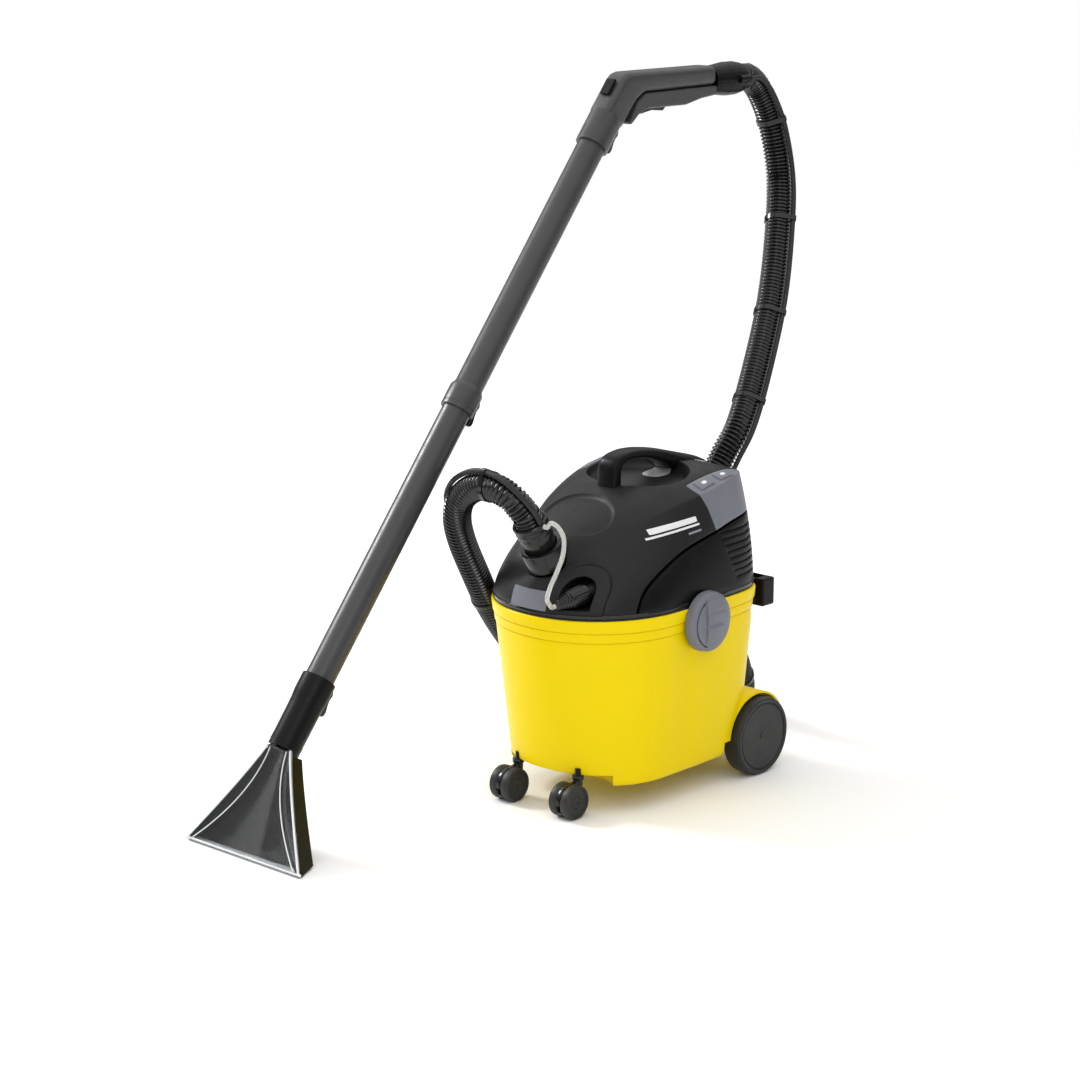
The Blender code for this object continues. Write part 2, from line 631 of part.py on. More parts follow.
def corner_cutter(name, side, gap):
    outline = [(y + gap, z) for y, z in CORNER_FRONT] + [(0.2, 0.340), (0.2, 0.445)]
    low_x, high_x = sorted((side * (CORNER_X + gap), side * 0.2))
    return slab(name, outline, low_x, high_x, SIDE_VIEW)


def build_shells():
    """The upper cover, the lower rear shell and the two grey corner panels of one form."""
    hollow = head_solid("head_hollow_cutter", WALL, HEAD_BASE_Z - 0.010)
    split = split_cutter("shell_split_cutter", -0.0004)
    upper = head_solid("upper_shell", 0.0, finish="dark_grey")
    combine(upper, hollow)
    combine(upper, split)
    for side in (-1, 1):
        combine(upper, corner_cutter(f"corner_cutter_{side}", side, -0.0004))
    combine(upper, inlet_cylinder("inlet_hole_cutter", INLET_RADIUS + GAP, -0.040, 0.060))
    combine(upper, recess_outline("coupling_hole_cutter", 0.0, -0.250, -0.100))
    lower = head_solid("lower_shell", 0.0, finish="black")
    combine(lower, hollow)
    combine(lower, split_cutter("lower_shell_form", 0.0004), "INTERSECT")
    for label, side in (("left", -1), ("right", 1)):
        panel = head_solid(f"corner_panel_{label}", 0.0, finish="blue_grey")
        combine(panel, hollow)
        combine(panel, split)
        combine(panel, corner_cutter(f"corner_form_{side}", side, 0.0004), "INTERSECT")
        if side == 1:
            for k, y in enumerate(BUTTON_CENTRES_Y):
                combine(panel, button_block(f"button_hole_cutter_{k}", y, GAP + 0.0003, 0.340))


def button_block(name, y, grow, low_z, finish=None):
    half = BUTTON_LENGTH / 2 + grow
    return box(name, (BUTTON_LOW_X - grow, y - half, low_z), (BUTTON_HIGH_X + grow, y + half, 0.450), finish)


def build_buttons():
    proud = head_solid("button_top_form", -0.0016)
    for name, y in zip(("suction_button", "spray_button"), BUTTON_CENTRES_Y):
        combine(button_block(name, y, 0.0, 0.390, "dark_grey"), proud, "INTERSECT")


def inlet_cylinder(name, radius, low, high, finish=None):
    axis = Vector(INLET_AXIS).normalized()
    point = Vector(INLET_POINT)
    return cylinder(name, radius, point + axis * low, point + axis * high, finish)


def recess_outline(name, grow, low_y, high_y, finish=None):
    """An arched opening in the front wall, round the spray coupling."""
    radius = COUPLING_HOLE_RADIUS + grow
    outline = [(COUPLING_X - radius, 0.2725 - grow), (COUPLING_X + radius, 0.2725 - grow)]
    for step in range(9):
        angle = pi * step / 8
        outline.append((COUPLING_X + radius * cos(angle), COUPLING_Z + radius * sin(angle)))
    return slab(name, outline, low_y, high_y, FRONT_VIEW, finish)


def build_head_base():
    plate = loft("head_base", [plan_ring(HEAD_BASE, z, WALL + 0.0035)[::2] for z in (0.2688, 0.2716)], "black")
    for name, radius, y in (("motor_eye_cutter", 0.020, 0.060), ("downpipe_cutter", 0.018, -0.110)):
        combine(plate, cylinder(name, radius, (0, y, 0.26), (0, y, 0.28)))
    combine(plate, cylinder("pipe_hole_cutter", 0.0046, (-0.060, 0.105, 0.26), (-0.060, 0.105, 0.28), segments=16))


def build_carry_handle():
    outline = [(-0.041, 0.385), (-0.040, 0.4300), (-0.036, 0.4405), (-0.027, 0.4480), (-0.010, 0.4515), (0.010, 0.4520),
               (0.030, 0.4500), (0.066, 0.4435), (0.095, 0.4350), (0.124, 0.4275), (0.128, 0.4240), (0.128, 0.385),
               (0.088, 0.385), (0.082, 0.4060), (0.070, 0.4190), (0.054, 0.4280), (0.035, 0.4350), (0.015, 0.4390),
               (0.0, 0.4400), (-0.013, 0.4380), (-0.021, 0.4310), (-0.023, 0.4100), (-0.023, 0.385)]
    handle = slab("carry_handle", outline, -HANDLE_HALF_WIDTH, HANDLE_HALF_WIDTH, SIDE_VIEW, "black", rounding=0.0035)
    seat = head_solid("handle_seat_cutter", 0.0)
    seat.location.z = 5 * GAP
    combine(handle, seat)


def build_inlet():
    axis = Vector(INLET_AXIS).normalized()
    sleeve = CUFF_RADIUS + 0.0003
    profile = [(INLET_RADIUS, 0.004), (INLET_RADIUS, -0.024), (sleeve, -0.024), (sleeve, 0.004)]
    turned("inlet_socket", profile, "black", location=INLET_POINT, axis=axis)
    bore = 0.0175
    profile = [(FLANGE_RADIUS, CUFF_END), (FLANGE_RADIUS, CUFF_END - 0.006), (CUFF_RADIUS, CUFF_END - 0.008),
               (CUFF_RADIUS, -0.020), (bore, -0.020), (bore, CUFF_END)]
    turned("hose_cuff", profile, "black", location=INLET_POINT, axis=axis)


def collar_axis_point(reach):
    return Vector(COLLAR_POINT) + Vector(COLLAR_AXIS).normalized() * reach


def build_spray_coupling():
    """A pocket behind the arched opening with the pump's outlet and the snap-on collar."""
    socket = recess_outline("spray_socket", -0.0006, -0.1900, -0.1250, "black")
    combine(socket, head_solid("socket_lip_form", -0.0016), "INTERSECT")
    combine(socket, recess_outline("socket_pocket_cutter", -0.0030, -0.220, -0.1285))
    combine(socket, cylinder("socket_spigot_form", 0.0095, collar_axis_point(-0.0235), collar_axis_point(0.0240),
                             segments=24), "UNION")
    combine(socket, box("socket_back_cutter", (0.0, -0.1250, 0.250), (0.120, -0.080, 0.340)))
    combine(socket, cylinder("socket_bore_cutter", 0.0030, collar_axis_point(-0.045), collar_axis_point(0.060),
                             segments=16))
    profile = [(0.0050, 0.0450), (0.0100, 0.0350), (0.0135, 0.0240), (0.0135, 0.0040), (0.0125, 0.0), (0.0100, 0.0),
               (0.0100, 0.0280), (0.0034, 0.0310), (0.0034, 0.0450)]
    turned("coupling_collar", profile, "rubber", location=COLLAR_POINT, axis=COLLAR_AXIS, steps=20)


def build_front_plate():
    plate = head_solid("front_plate", -0.0016, finish="blue_grey")
    combine(plate, head_solid("front_plate_seat_cutter", -GAP))
    combine(plate, box("front_plate_form", (-0.0300, -0.25, 0.2745), (0.0300, -0.10, 0.2990)), "INTERSECT")


def build_rear_fittings():
    bracket = box("rear_bracket", (-0.118, 0.1476, 0.2300), (0.118, 0.1730, 0.2680), "black", rounding=0.0025)
    combine(bracket, box("bracket_slot_cutter", (-0.105, 0.1515, 0.2360), (0.105, 0.1690, 0.3000)))
    profile = [(0.0060, 0.0150), (0.0095, 0.0), (0.0035, 0.0), (0.0035, 0.0150)]
    turned("cord_gland", profile, "rubber", location=(-0.070, 0.1465, 0.318), axis=(0, 1, 0), steps=20)


def build_motor_and_pump():
    profile = [(0.0, 0.3700), (0.042, 0.3700), (0.046, 0.3660), (0.046, 0.2720), (0.042, 0.2720), (0.042, 0.3660),
               (0.0, 0.3660)]
    turned("motor_housing", profile, "blue_grey", location=(0, 0.060, 0), closed=False, steps=20)
    profile = [(0.0, 0.3640), (0.0050, 0.3640), (0.0050, 0.3600), (0.0280, 0.3550), (0.0280, 0.3050),
               (0.0050, 0.3000), (0.0050, 0.2960), (0.0380, 0.2920), (0.0380, 0.2820), (0.0, 0.2780)]
    turned("motor_rotor", profile, "steel", location=(0, 0.060, 0), closed=False, steps=16)
    pump = box("pump_body", (-0.102, -0.030, 0.2720), (-0.058, 0.018, 0.3150), "black", rounding=0.003)
    combine(pump, cylinder("pump_bore_cutter", 0.0082, (-0.080, -0.006, 0.285), (-0.080, -0.006, 0.33), segments=20))
    cylinder("pump_plunger", 0.0078, (-0.080, -0.006, 0.2905), (-0.080, -0.006, 0.3260), "steel", segments=20)
    profile = [(0.0040, 0.2715), (0.0040, 0.0680), (0.0028, 0.0680), (0.0028, 0.2715)]
    turned("suction_pipe", profile, "clear", location=(-0.060, 0.105, 0), steps=16)


def build_filter_and_float():
    frame = box("filter_frame", (-0.080, 0.010, 0.2600), (0.080, 0.092, 0.2683), "orange", rounding=0.0015)
    for k in range(4):
        low_x = -0.074 + k * 0.0375
        combine(frame, box(f"filter_window_cutter_{k}", (low_x, 0.016, 0.25), (low_x + 0.0340, 0.086, 0.28)))
    box("pleated_filter", (-0.076, 0.013, 0.2165), (0.076, 0.068, 0.2597), "paper", rounding=0.001)
    profile = [(0.0220, 0.2683), (0.0220, 0.2150), (0.0190, 0.2150), (0.0190, 0.2683)]
    cage = turned("float_cage", profile, "black", location=(0, -0.060, 0), steps=24)
    for k in range(3):
        angle = pi * k / 3
        reach = Vector((cos(angle), sin(angle), 0)) * 0.03
        window = box(f"cage_window_cutter_{k}", (-0.03, -0.0055, 0.2230), (0.03, 0.0055, 0.2560))
        window.location = (0, -0.060, 0)
        window.rotation_euler = (0, 0, atan2(reach.y, reach.x))
        combine(cage, window)
    bm = bmesh.new()
    bmesh.ops.create_uvsphere(bm, u_segments=16, v_segments=8, radius=0.0150,
                              matrix=Matrix.Translation((0, -0.060, 0.2320)))
    add_mesh("float_ball", mesh_from_bmesh("float_ball", bm), "white")


# ---------------------------------------------------------------- wand

def build_tubes(wand):
    low, high = LOWER_TUBE
    turned("lower_tube", [(TUBE_RADIUS, high), (TUBE_RADIUS, low), (TUBE_BORE, low), (TUBE_BORE, high)], "dark_grey",
           wand)
    profile = [(TUBE_RADIUS, UPPER_TUBE_END), (TUBE_RADIUS, 0.692), (COLLAR_RADIUS, 0.688),
               (COLLAR_RADIUS, UPPER_TUBE_START), (SOCKET_BORE, UPPER_TUBE_START), (SOCKET_BORE, 0.6845),
               (TUBE_BORE, 0.6845), (TUBE_BORE, UPPER_TUBE_END)]
    turned("upper_tube", profile, "dark_grey", wand)
    profile = [(COLLAR_RADIUS, NECK_END), (COLLAR_RADIUS, 0.235), (0.0215, 0.225), (0.0215, NECK_START),
               (0.0178, NECK_START), (0.0178, LOWER_TUBE[0] - GAP), (SOCKET_BORE, LOWER_TUBE[0] - GAP),
               (SOCKET_BORE, NECK_END)]
    turned("nozzle_neck", profile, "black", wand)
    cylinder("wand_spray_pipe", 0.0030, (0, 0.0135, 0.170), (0, 0.0135, 1.096), "clear", wand, segments=12)


def build_lock(name, low, high, wand):
    """A spring catch on the back of a collar, hinged at its lower end."""
    box(name, (-0.0070, COLLAR_RADIUS + 0.0006, low), (0.0070, COLLAR_RADIUS + 0.0085, high), "black", wand, 0.0015)


def nozzle_outline(lip, neck, low_z, high_z, power_share=1.12):
    steps = 8
    side = []
    for k in range(steps + 1):
        z = low_z + (high_z - low_z) * k / steps
        share = max(0.0, 1 - z / NOZZLE_HEIGHT)
        side.append((neck + (lip - neck) * share ** power_share, z))
    return side + [(-x, z) for x, z in reversed(side)]


def build_nozzle(nozzle):
    """A clear front cover over a black tray that holds the suction channel and the spray jet."""
    cover = nozzle_outline(LIP_HALF_WIDTH, 0.021, 0.0015, NOZZLE_HEIGHT)
    slab("nozzle_cover", cover, -0.0040, 0.0, FRONT_VIEW, "clear", nozzle, rounding=0.001)
    rings = []
    for depth, raise_by, shrink in ((GAP, 0.0015, 0.0), (NOZZLE_DEPTH, NOZZLE_DEPTH * tan(NOZZLE_LEAN) + 0.003, 0.004)):
        outline = nozzle_outline(LIP_HALF_WIDTH - shrink, 0.021, raise_by, NOZZLE_HEIGHT - 0.007)
        rings.append([(x, depth * (1 - 0.45 * z / NOZZLE_HEIGHT), z) for x, z in outline])
    body = loft("nozzle_body", rings, "black", nozzle)
    tray = nozzle_outline(LIP_HALF_WIDTH - 0.008, 0.0165, 0.024, NOZZLE_HEIGHT - 0.020)
    combine(body, slab("tray_cutter", tray, 0.0125, 0.060, FRONT_VIEW, None, nozzle))
    combine(body, cylinder("nozzle_boss_form", 0.0213, neck_point(0.130), neck_point(NECK_START - GAP),
                           parent=nozzle), "UNION")
    combine(body, box("cover_seat_cutter", (-0.12, -0.040, -0.01), (0.12, GAP, NOZZLE_HEIGHT + 0.0006), parent=nozzle))
    channel = nozzle_outline(LIP_HALF_WIDTH - 0.007, 0.0150, -0.004, NOZZLE_HEIGHT - 0.004, 1.9)
    combine(body, slab("channel_cutter", channel, -0.010, 0.0090, FRONT_VIEW, None, nozzle))
    combine(body, cylinder("nozzle_bore_cutter", 0.0160, neck_point(0.140), neck_point(0.200), parent=nozzle))
    jet = [(0.0028, 0.0120), (0.0050, 0.0100), (0.0050, 0.0), (0.0015, 0.0), (0.0015, 0.0120)]
    turned("spray_jet", jet, "rubber", nozzle, location=(0, 0.0220, 0.0480), axis=(0, -0.25, -0.97), steps=16)


def neck_point(reach):
    """A point on the wand's axis, in the nozzle's own frame."""
    foot = Vector((0, WAND_FOOT_Y - LIP_Y, 0))
    along = Vector((0, sin(WAND_LEAN), cos(WAND_LEAN))) * reach
    return Matrix.Rotation(NOZZLE_LEAN, 3, "X") @ (foot + along)


def wand_point(reach, behind=0.0):
    """Machine coordinates of a point up the wand and behind its axis."""
    return (WAND_X, WAND_FOOT_Y + reach * sin(WAND_LEAN) + behind * cos(WAND_LEAN),
            reach * cos(WAND_LEAN) - behind * sin(WAND_LEAN))


def build_grip():
    """The bent grip, its lower cover, the spray trigger, the air slider and the hose swivel."""
    outline = [wand_point(1.112, -0.0205)[1:], (0.1385, 0.9190), (0.1450, 0.9240), (0.1540, 0.9262), (0.3200, 0.9262),
               (GRIP_END_Y, 0.9255), (GRIP_END_Y, 0.8995), (0.1830, 0.8975), (0.1660, 0.8870),
               wand_point(1.112, 0.0205)[1:]]
    low_x, high_x = WAND_X - GRIP_HALF_WIDTH, WAND_X + GRIP_HALF_WIDTH
    body = slab("grip_body", outline, low_x, high_x, SIDE_VIEW, "dark_grey", rounding=0.0060)
    combine(body, cylinder("grip_socket_form", COLLAR_RADIUS, wand_point(GRIP_SOCKET_START), wand_point(1.120)), "UNION")
    combine(body, cylinder("grip_socket_cutter", SOCKET_BORE, wand_point(1.06), wand_point(UPPER_TUBE_END + GAP)))
    combine(body, cylinder("grip_duct_cutter", 0.0125, wand_point(1.06), (WAND_X, 0.1560, 0.9090), segments=20))
    combine(body, cylinder("grip_bore_cutter", 0.0110, (WAND_X, 0.1480, 0.9125), (WAND_X, 0.36, 0.9125), segments=20))
    outline = [(0.1835, 0.8970), (GRIP_END_Y, 0.8990), (GRIP_END_Y, 0.8860), (0.3050, 0.8830), (0.2700, 0.8760),
               (0.1900, 0.8760), (0.1700, 0.8690), (0.1540, 0.8560), (0.1500, 0.8600), (0.1665, 0.8862)]
    cover = slab("grip_cover", outline, low_x + 0.001, high_x - 0.001, SIDE_VIEW, "dark_grey", rounding=0.0030)
    cover.location = (0, 0.0004, -0.0004)
    combine(cover, box("trigger_pocket_cutter", (WAND_X - 0.0095, 0.1760, 0.8650), (WAND_X + 0.0095, 0.2400, 0.8840)))
    outline = [(0.1780, 0.8755), (0.1960, 0.8780), (0.2320, 0.8780), (0.2360, 0.8755), (0.2300, 0.8700),
               (0.2060, 0.8720), (0.1840, 0.8685), (0.1780, 0.8710)]
    slab("spray_trigger", outline, WAND_X - 0.0085, WAND_X + 0.0085, SIDE_VIEW, "black", rounding=0.0010)
    profile = [(0.0215, SWIVEL_END_Y), (0.0235, SWIVEL_END_Y - 0.012), (0.0235, SWIVEL_END_Y - 0.030),
               (0.0205, 0.3440), (0.0190, GRIP_END_Y + 0.0004), (0.0120, GRIP_END_Y + 0.0004), (0.0120, SWIVEL_END_Y)]
    swivel = turned("hose_swivel", profile, "black", location=(WAND_X, 0, GRIP_AXIS_Z), axis=(0, 1, 0))
    line_x = WAND_X + LINE_OFFSET
    combine(swivel, cylinder("line_socket_form", 0.0055, (line_x, SWIVEL_END_Y - 0.022, GRIP_AXIS_Z),
                             (line_x, SWIVEL_END_Y, GRIP_AXIS_Z), segments=20), "UNION")
    combine(swivel, cylinder("swivel_bore_cutter", 0.0120, (WAND_X, 0.330, GRIP_AXIS_Z), (WAND_X, 0.410, GRIP_AXIS_Z),
                             segments=28))


def build_air_slider(wand):
    """A ribbed slide over the bleed hole on the front of the grip's bend."""
    box("air_slider", (-0.0080, -0.0252, 1.1410), (0.0080, -0.0208, 1.1650), "black", wand, 0.0012)


# ---------------------------------------------------------------- hoses

def offset_route(route, distance):
    """A line beside a route, on the outer side of its bends."""
    result = []
    for k, point in enumerate(route):
        share = k / (len(route) - 1)
        hint = Vector([interpolate([(at, side[i]) for at, side in LINE_SIDES], share) for i in range(3)])
        tangent = (route[min(k + 1, len(route) - 1)] - route[max(k - 1, 0)]).normalized()
        side = (hint - tangent * hint.dot(tangent)).normalized()
        result.append(point + side * distance)
    return result


def hose_path(count):
    """The hose's centreline: straight out of the cuff and straight into the swivel."""
    axis = Vector(INLET_AXIS).normalized()
    start = Vector(INLET_POINT) + axis * (CUFF_END + GAP)
    end = Vector((WAND_X, SWIVEL_END_Y + GAP, GRIP_AXIS_Z))
    middle = [start + axis * 0.012] + HOSE_ROUTE + [end + Vector((0, 0.012, 0))]
    return [start] + smooth_route(middle, count - 2) + [end]


def build_hoses():
    flexible_tube("suction_hose", hose_path(64), HOSE_RADIUS, 3, "black")
    flexible_tube("spray_line", offset_route(hose_path(64), LINE_OFFSET), LINE_RADIUS, 2, "rubber")
    axis = Vector(INLET_AXIS).normalized()
    side = Vector(LINE_SIDES[0][1])
    side = (side - axis * side.dot(axis)).normalized()
    start = Vector(INLET_POINT) + axis * (CUFF_END - 0.003) + side * (FLANGE_RADIUS + GAP)
    end = collar_axis_point(0.045 + GAP)
    middle = [start + side * 0.006] + CLEAR_ROUTE + [collar_axis_point(0.051)]
    route = [start] + smooth_route(middle, 14) + [end]
    flexible_tube("spray_tube", route, CLEAR_TUBE_RADIUS, 2, "clear")


def centre_on_floor():
    """Shift the set so that the origin is the bottom centre of every piece but the hoses."""
    bpy.context.view_layer.update()
    graph = bpy.context.evaluated_depsgraph_get()
    low = Vector((9, 9, 9))
    high = -low
    for obj in PARTS.objects:
        if obj.type != "MESH":
            continue
        evaluated = obj.evaluated_get(graph)
        for vertex in evaluated.data.vertices:
            place_at = evaluated.matrix_world @ vertex.co
            low = Vector(map(min, low, place_at))
            high = Vector(map(max, high, place_at))
    ORIGIN.location = (-(low.x + high.x) / 2, -(low.y + high.y) / 2, -low.z)


def main():
    build_container()
    build_waste_tank()
    build_rim_seal()
    build_rear_wheels()
    for label, side in (("left", -1), ("right", 1)):
        build_castor(label, side * CASTOR_X)
        build_latch(label, side)
    build_shells()
    build_buttons()
    build_head_base()
    build_carry_handle()
    build_inlet()
    build_spray_coupling()
    build_front_plate()
    build_rear_fittings()
    build_motor_and_pump()
    build_filter_and_float()
    wand = new_empty("wand_axis", (WAND_X, WAND_FOOT_Y, 0), (-WAND_LEAN, 0, 0), ORIGIN)
    nozzle = new_empty("nozzle_axis", (WAND_X, LIP_Y, 0), (-NOZZLE_LEAN, 0, 0), ORIGIN)
    build_tubes(wand)
    build_lock("nozzle_lock", 0.222, 0.258, wand)
    build_lock("tube_lock", 0.650, 0.686, wand)
    build_lock("grip_lock", 1.080, 1.116, wand)
    build_nozzle(nozzle)
    build_grip()
    build_air_slider(wand)
    build_hoses()
    centre_on_floor()


clear_scene()
PARTS = new_collection(NAME)
CUTTERS = new_collection("cutters")
ORIGIN = new_empty("frame_origin")
main()
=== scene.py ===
"""Looks of the spray extraction cleaner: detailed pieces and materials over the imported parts."""
from math import cos, pi, radians, sin
import bmesh
import bpy
from mathutils import Matrix, Vector


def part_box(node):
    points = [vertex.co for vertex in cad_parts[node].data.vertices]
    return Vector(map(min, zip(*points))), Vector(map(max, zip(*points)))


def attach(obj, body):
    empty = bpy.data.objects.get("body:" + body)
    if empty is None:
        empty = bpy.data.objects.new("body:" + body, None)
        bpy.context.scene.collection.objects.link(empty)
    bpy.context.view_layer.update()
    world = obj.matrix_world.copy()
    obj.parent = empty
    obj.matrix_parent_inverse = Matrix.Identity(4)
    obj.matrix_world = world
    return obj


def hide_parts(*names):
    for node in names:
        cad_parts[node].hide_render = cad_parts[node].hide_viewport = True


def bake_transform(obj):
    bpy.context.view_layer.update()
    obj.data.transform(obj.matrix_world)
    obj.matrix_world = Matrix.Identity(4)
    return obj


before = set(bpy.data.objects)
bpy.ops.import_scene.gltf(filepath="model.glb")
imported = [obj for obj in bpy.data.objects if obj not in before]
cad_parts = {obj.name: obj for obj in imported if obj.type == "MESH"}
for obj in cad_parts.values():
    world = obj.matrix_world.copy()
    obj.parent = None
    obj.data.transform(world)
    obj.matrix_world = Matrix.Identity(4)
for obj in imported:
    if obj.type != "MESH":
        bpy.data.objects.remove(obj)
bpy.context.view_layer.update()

# Machine axes: -Y is the front, x = 0 is the machine's centre line, z = 0 is the floor.
AXLE = [(low + high) / 2 for low, high in zip(*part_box("rear_axle"))]
SHIFT = Vector((AXLE[0], AXLE[1] - 0.140, 0.0))


# ---------------------------------------------------------------- camera

def build_camera():
    azimuth, elevation, distance = radians(42.44), radians(13.69), 3.775
    target = Vector((-0.1512, 0.0, 0.305)) + SHIFT
    back = Vector((sin(azimuth) * cos(elevation), -cos(azimuth) * cos(elevation), sin(elevation)))
    data = bpy.data.cameras.new("camera")
    data.lens = 92.64
    data.sensor_width = 36.0
    camera = bpy.data.objects.new("camera", data)
    bpy.context.scene.collection.objects.link(camera)
    camera.location = target + back * distance
    camera.rotation_euler = (-back).to_track_quat("-Z", "Y").to_euler()
    bpy.context.scene.camera = camera


build_camera()


# ---------------------------------------------------------------- materials

def node_material(name):
    material = bpy.data.materials.new(name)
    material.use_nodes = True
    nodes = material.node_tree.nodes
    return material, nodes, material.node_tree.links, nodes["Principled BSDF"]


def noise(nodes, links, coords, scale, detail=4.0):
    texture = nodes.new("ShaderNodeTexNoise")
    texture.inputs["Scale"].default_value = scale
    texture.inputs["Detail"].default_value = detail
    links.new(coords.outputs["Object"], texture.inputs["Vector"])
    return texture


def spread(nodes, links, source, low, high):
    """Map a texture's middle range to low and high."""
    node = nodes.new("ShaderNodeMapRange")
    node.inputs["From Min"].default_value = 0.3
    node.inputs["From Max"].default_value = 0.7
    node.inputs["To Min"].default_value = low
    node.inputs["To Max"].default_value = high
    links.new(source, node.inputs["Value"])
    return node


def plastic(name, colour, roughness, grain=0.2, scale=1400.0, variation=0.06, spread_roughness=0.06,
            metallic=0.0, coat=0.0, specular=0.4):
    """Moulded plastic: a fine grain, patchy gloss and a slight drift of colour."""
    material, nodes, links, shader = node_material(name)
    coords = nodes.new("ShaderNodeTexCoord")
    drift = noise(nodes, links, coords, 22.0)
    mix = nodes.new("ShaderNodeMix")
    mix.data_type = "RGBA"
    links.new(spread(nodes, links, drift.outputs["Fac"], 0.0, 1.0).outputs["Result"], mix.inputs["Factor"])
    mix.inputs["A"].default_value = (*[value * (1 - variation) for value in colour], 1)
    mix.inputs["B"].default_value = (*[min(1.0, value * (1 + variation)) for value in colour], 1)
    links.new(mix.outputs["Result"], shader.inputs["Base Color"])
    handling = noise(nodes, links, coords, 60.0, 6.0)
    low, high = roughness - spread_roughness, roughness + spread_roughness
    gloss = spread(nodes, links, handling.outputs["Fac"], low, high)
    links.new(gloss.outputs["Result"], shader.inputs["Roughness"])
    fine = noise(nodes, links, coords, scale, 2.0)
    bump = nodes.new("ShaderNodeBump")
    bump.inputs["Strength"].default_value = grain
    bump.inputs["Distance"].default_value = 0.0003
    links.new(fine.outputs["Fac"], bump.inputs["Height"])
    links.new(bump.outputs["Normal"], shader.inputs["Normal"])
    shader.inputs["Metallic"].default_value = metallic
    shader.inputs["Coat Weight"].default_value = coat
    shader.inputs["Specular IOR Level"].default_value = specular
    return material


def clear_plastic(name, tint, roughness, transmission=1.0):
    material, nodes, links, shader = node_material(name)
    coords = nodes.new("ShaderNodeTexCoord")
    haze = noise(nodes, links, coords, 90.0, 5.0)
    gloss = spread(nodes, links, haze.outputs["Fac"], roughness * 0.6, roughness * 1.6)
    links.new(gloss.outputs["Result"], shader.inputs["Roughness"])
    flow = noise(nodes, links, coords, 14.0, 2.0)
    bump = nodes.new("ShaderNodeBump")
    bump.inputs["Strength"].default_value = 0.03
    bump.inputs["Distance"].default_value = 0.001
    links.new(flow.outputs["Fac"], bump.inputs["Height"])
    links.new(bump.outputs["Normal"], shader.inputs["Normal"])
    shader.inputs["Base Color"].default_value = (*tint, 1)
    shader.inputs["Transmission Weight"].default_value = transmission
    shader.inputs["IOR"].default_value = 1.45
    return material


def pleated_paper(name):
    material, nodes, links, shader = node_material(name)
    coords = nodes.new("ShaderNodeTexCoord")
    wave = nodes.new("ShaderNodeTexWave")
    wave.wave_profile = "TRI"
    wave.inputs["Scale"].default_value = 60.0
    wave.inputs["Distortion"].default_value = 0.6
    links.new(coords.outputs["Object"], wave.inputs["Vector"])
    bump = nodes.new("ShaderNodeBump")
    bump.inputs["Strength"].default_value = 0.8
    bump.inputs["Distance"].default_value = 0.002
    links.new(wave.outputs["Fac"], bump.inputs["Height"])
    links.new(bump.outputs["Normal"], shader.inputs["Normal"])
    shader.inputs["Base Color"].default_value = (0.72, 0.62, 0.38, 1)
    shader.inputs["Roughness"].default_value = 0.9
    return material


YELLOW = plastic("yellow_gloss", (0.82, 0.615, 0.0), 0.30, grain=0.04, scale=260.0, variation=0.008,
                 spread_roughness=0.02, specular=0.10)
DARK_GREY = plastic("dark_grey_grained", (0.0085, 0.0085, 0.0090), 0.46, grain=0.30, scale=1500.0,
                    specular=0.24)
BLACK = plastic("black_moulded", (0.004, 0.004, 0.0042), 0.36, grain=0.22, scale=1300.0, variation=0.12,
                specular=0.14)
GLOSS_BLACK = plastic("black_gloss", (0.006, 0.006, 0.0062), 0.20, grain=0.06, scale=500.0, variation=0.12)
TUBE_GREY = plastic("tube_dark_grey", (0.040, 0.040, 0.041), 0.34, grain=0.12, scale=1100.0)
BLUE_GREY = plastic("blue_grey_grained", (0.150, 0.156, 0.182), 0.46, grain=0.25, scale=1400.0)
WHEEL = plastic("wheel_black", (0.022, 0.022, 0.022), 0.46, grain=0.35, scale=1000.0, variation=0.15,
                specular=0.3)
HOSE = plastic("hose_black", (0.005, 0.005, 0.0052), 0.17, grain=0.08, scale=700.0, variation=0.10,
               specular=0.5)
RUBBER = plastic("black_rubber_finish", (0.014, 0.014, 0.014), 0.60, grain=0.30, scale=900.0, variation=0.15)
ORANGE = plastic("orange_moulded", (0.80, 0.19, 0.02), 0.45)
WHITE = plastic("white_moulded", (0.78, 0.78, 0.76), 0.35, grain=0.1)
STEEL = plastic("bright_steel", (0.60, 0.60, 0.61), 0.26, grain=0.1, metallic=1.0)
SILVER = plastic("silver_label", (0.62, 0.63, 0.64), 0.32, grain=0.1, metallic=0.6)
PALE_PRINT = plastic("pale_print", (0.74, 0.74, 0.74), 0.40, grain=0.05)
GREY_PRINT = plastic("grey_print", (0.22, 0.22, 0.24), 0.45, grain=0.05)
CLEAR = clear_plastic("clear_cover", (0.93, 0.94, 0.95), 0.05)
# Painted highlight: a pale opaque colour for the clear cover's edge beads, standing in for the light that
# clear plastic edges catch
CLEAR_EDGE_PAINTED_HIGHLIGHT = plastic("clear_edge_painted_highlight", (0.70, 0.72, 0.73), 0.16, grain=0.03, variation=0.05, coat=0.4)
CLEAR_TUBE = clear_plastic("clear_tube", (0.84, 0.84, 0.80), 0.10, 0.55)
PAPER = pleated_paper("filter_paper_finish")


# ---------------------------------------------------------------- helpers

def finish_piece(obj, material, body, replaces=(), angle=32.0):
    mesh = obj.data
    mesh.materials.clear()
    mesh.materials.append(material)
    mesh.shade_smooth()
    mesh.set_sharp_from_angle(angle=radians(angle))
    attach(obj, body)
    if replaces:
        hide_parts(*replaces)
    return obj


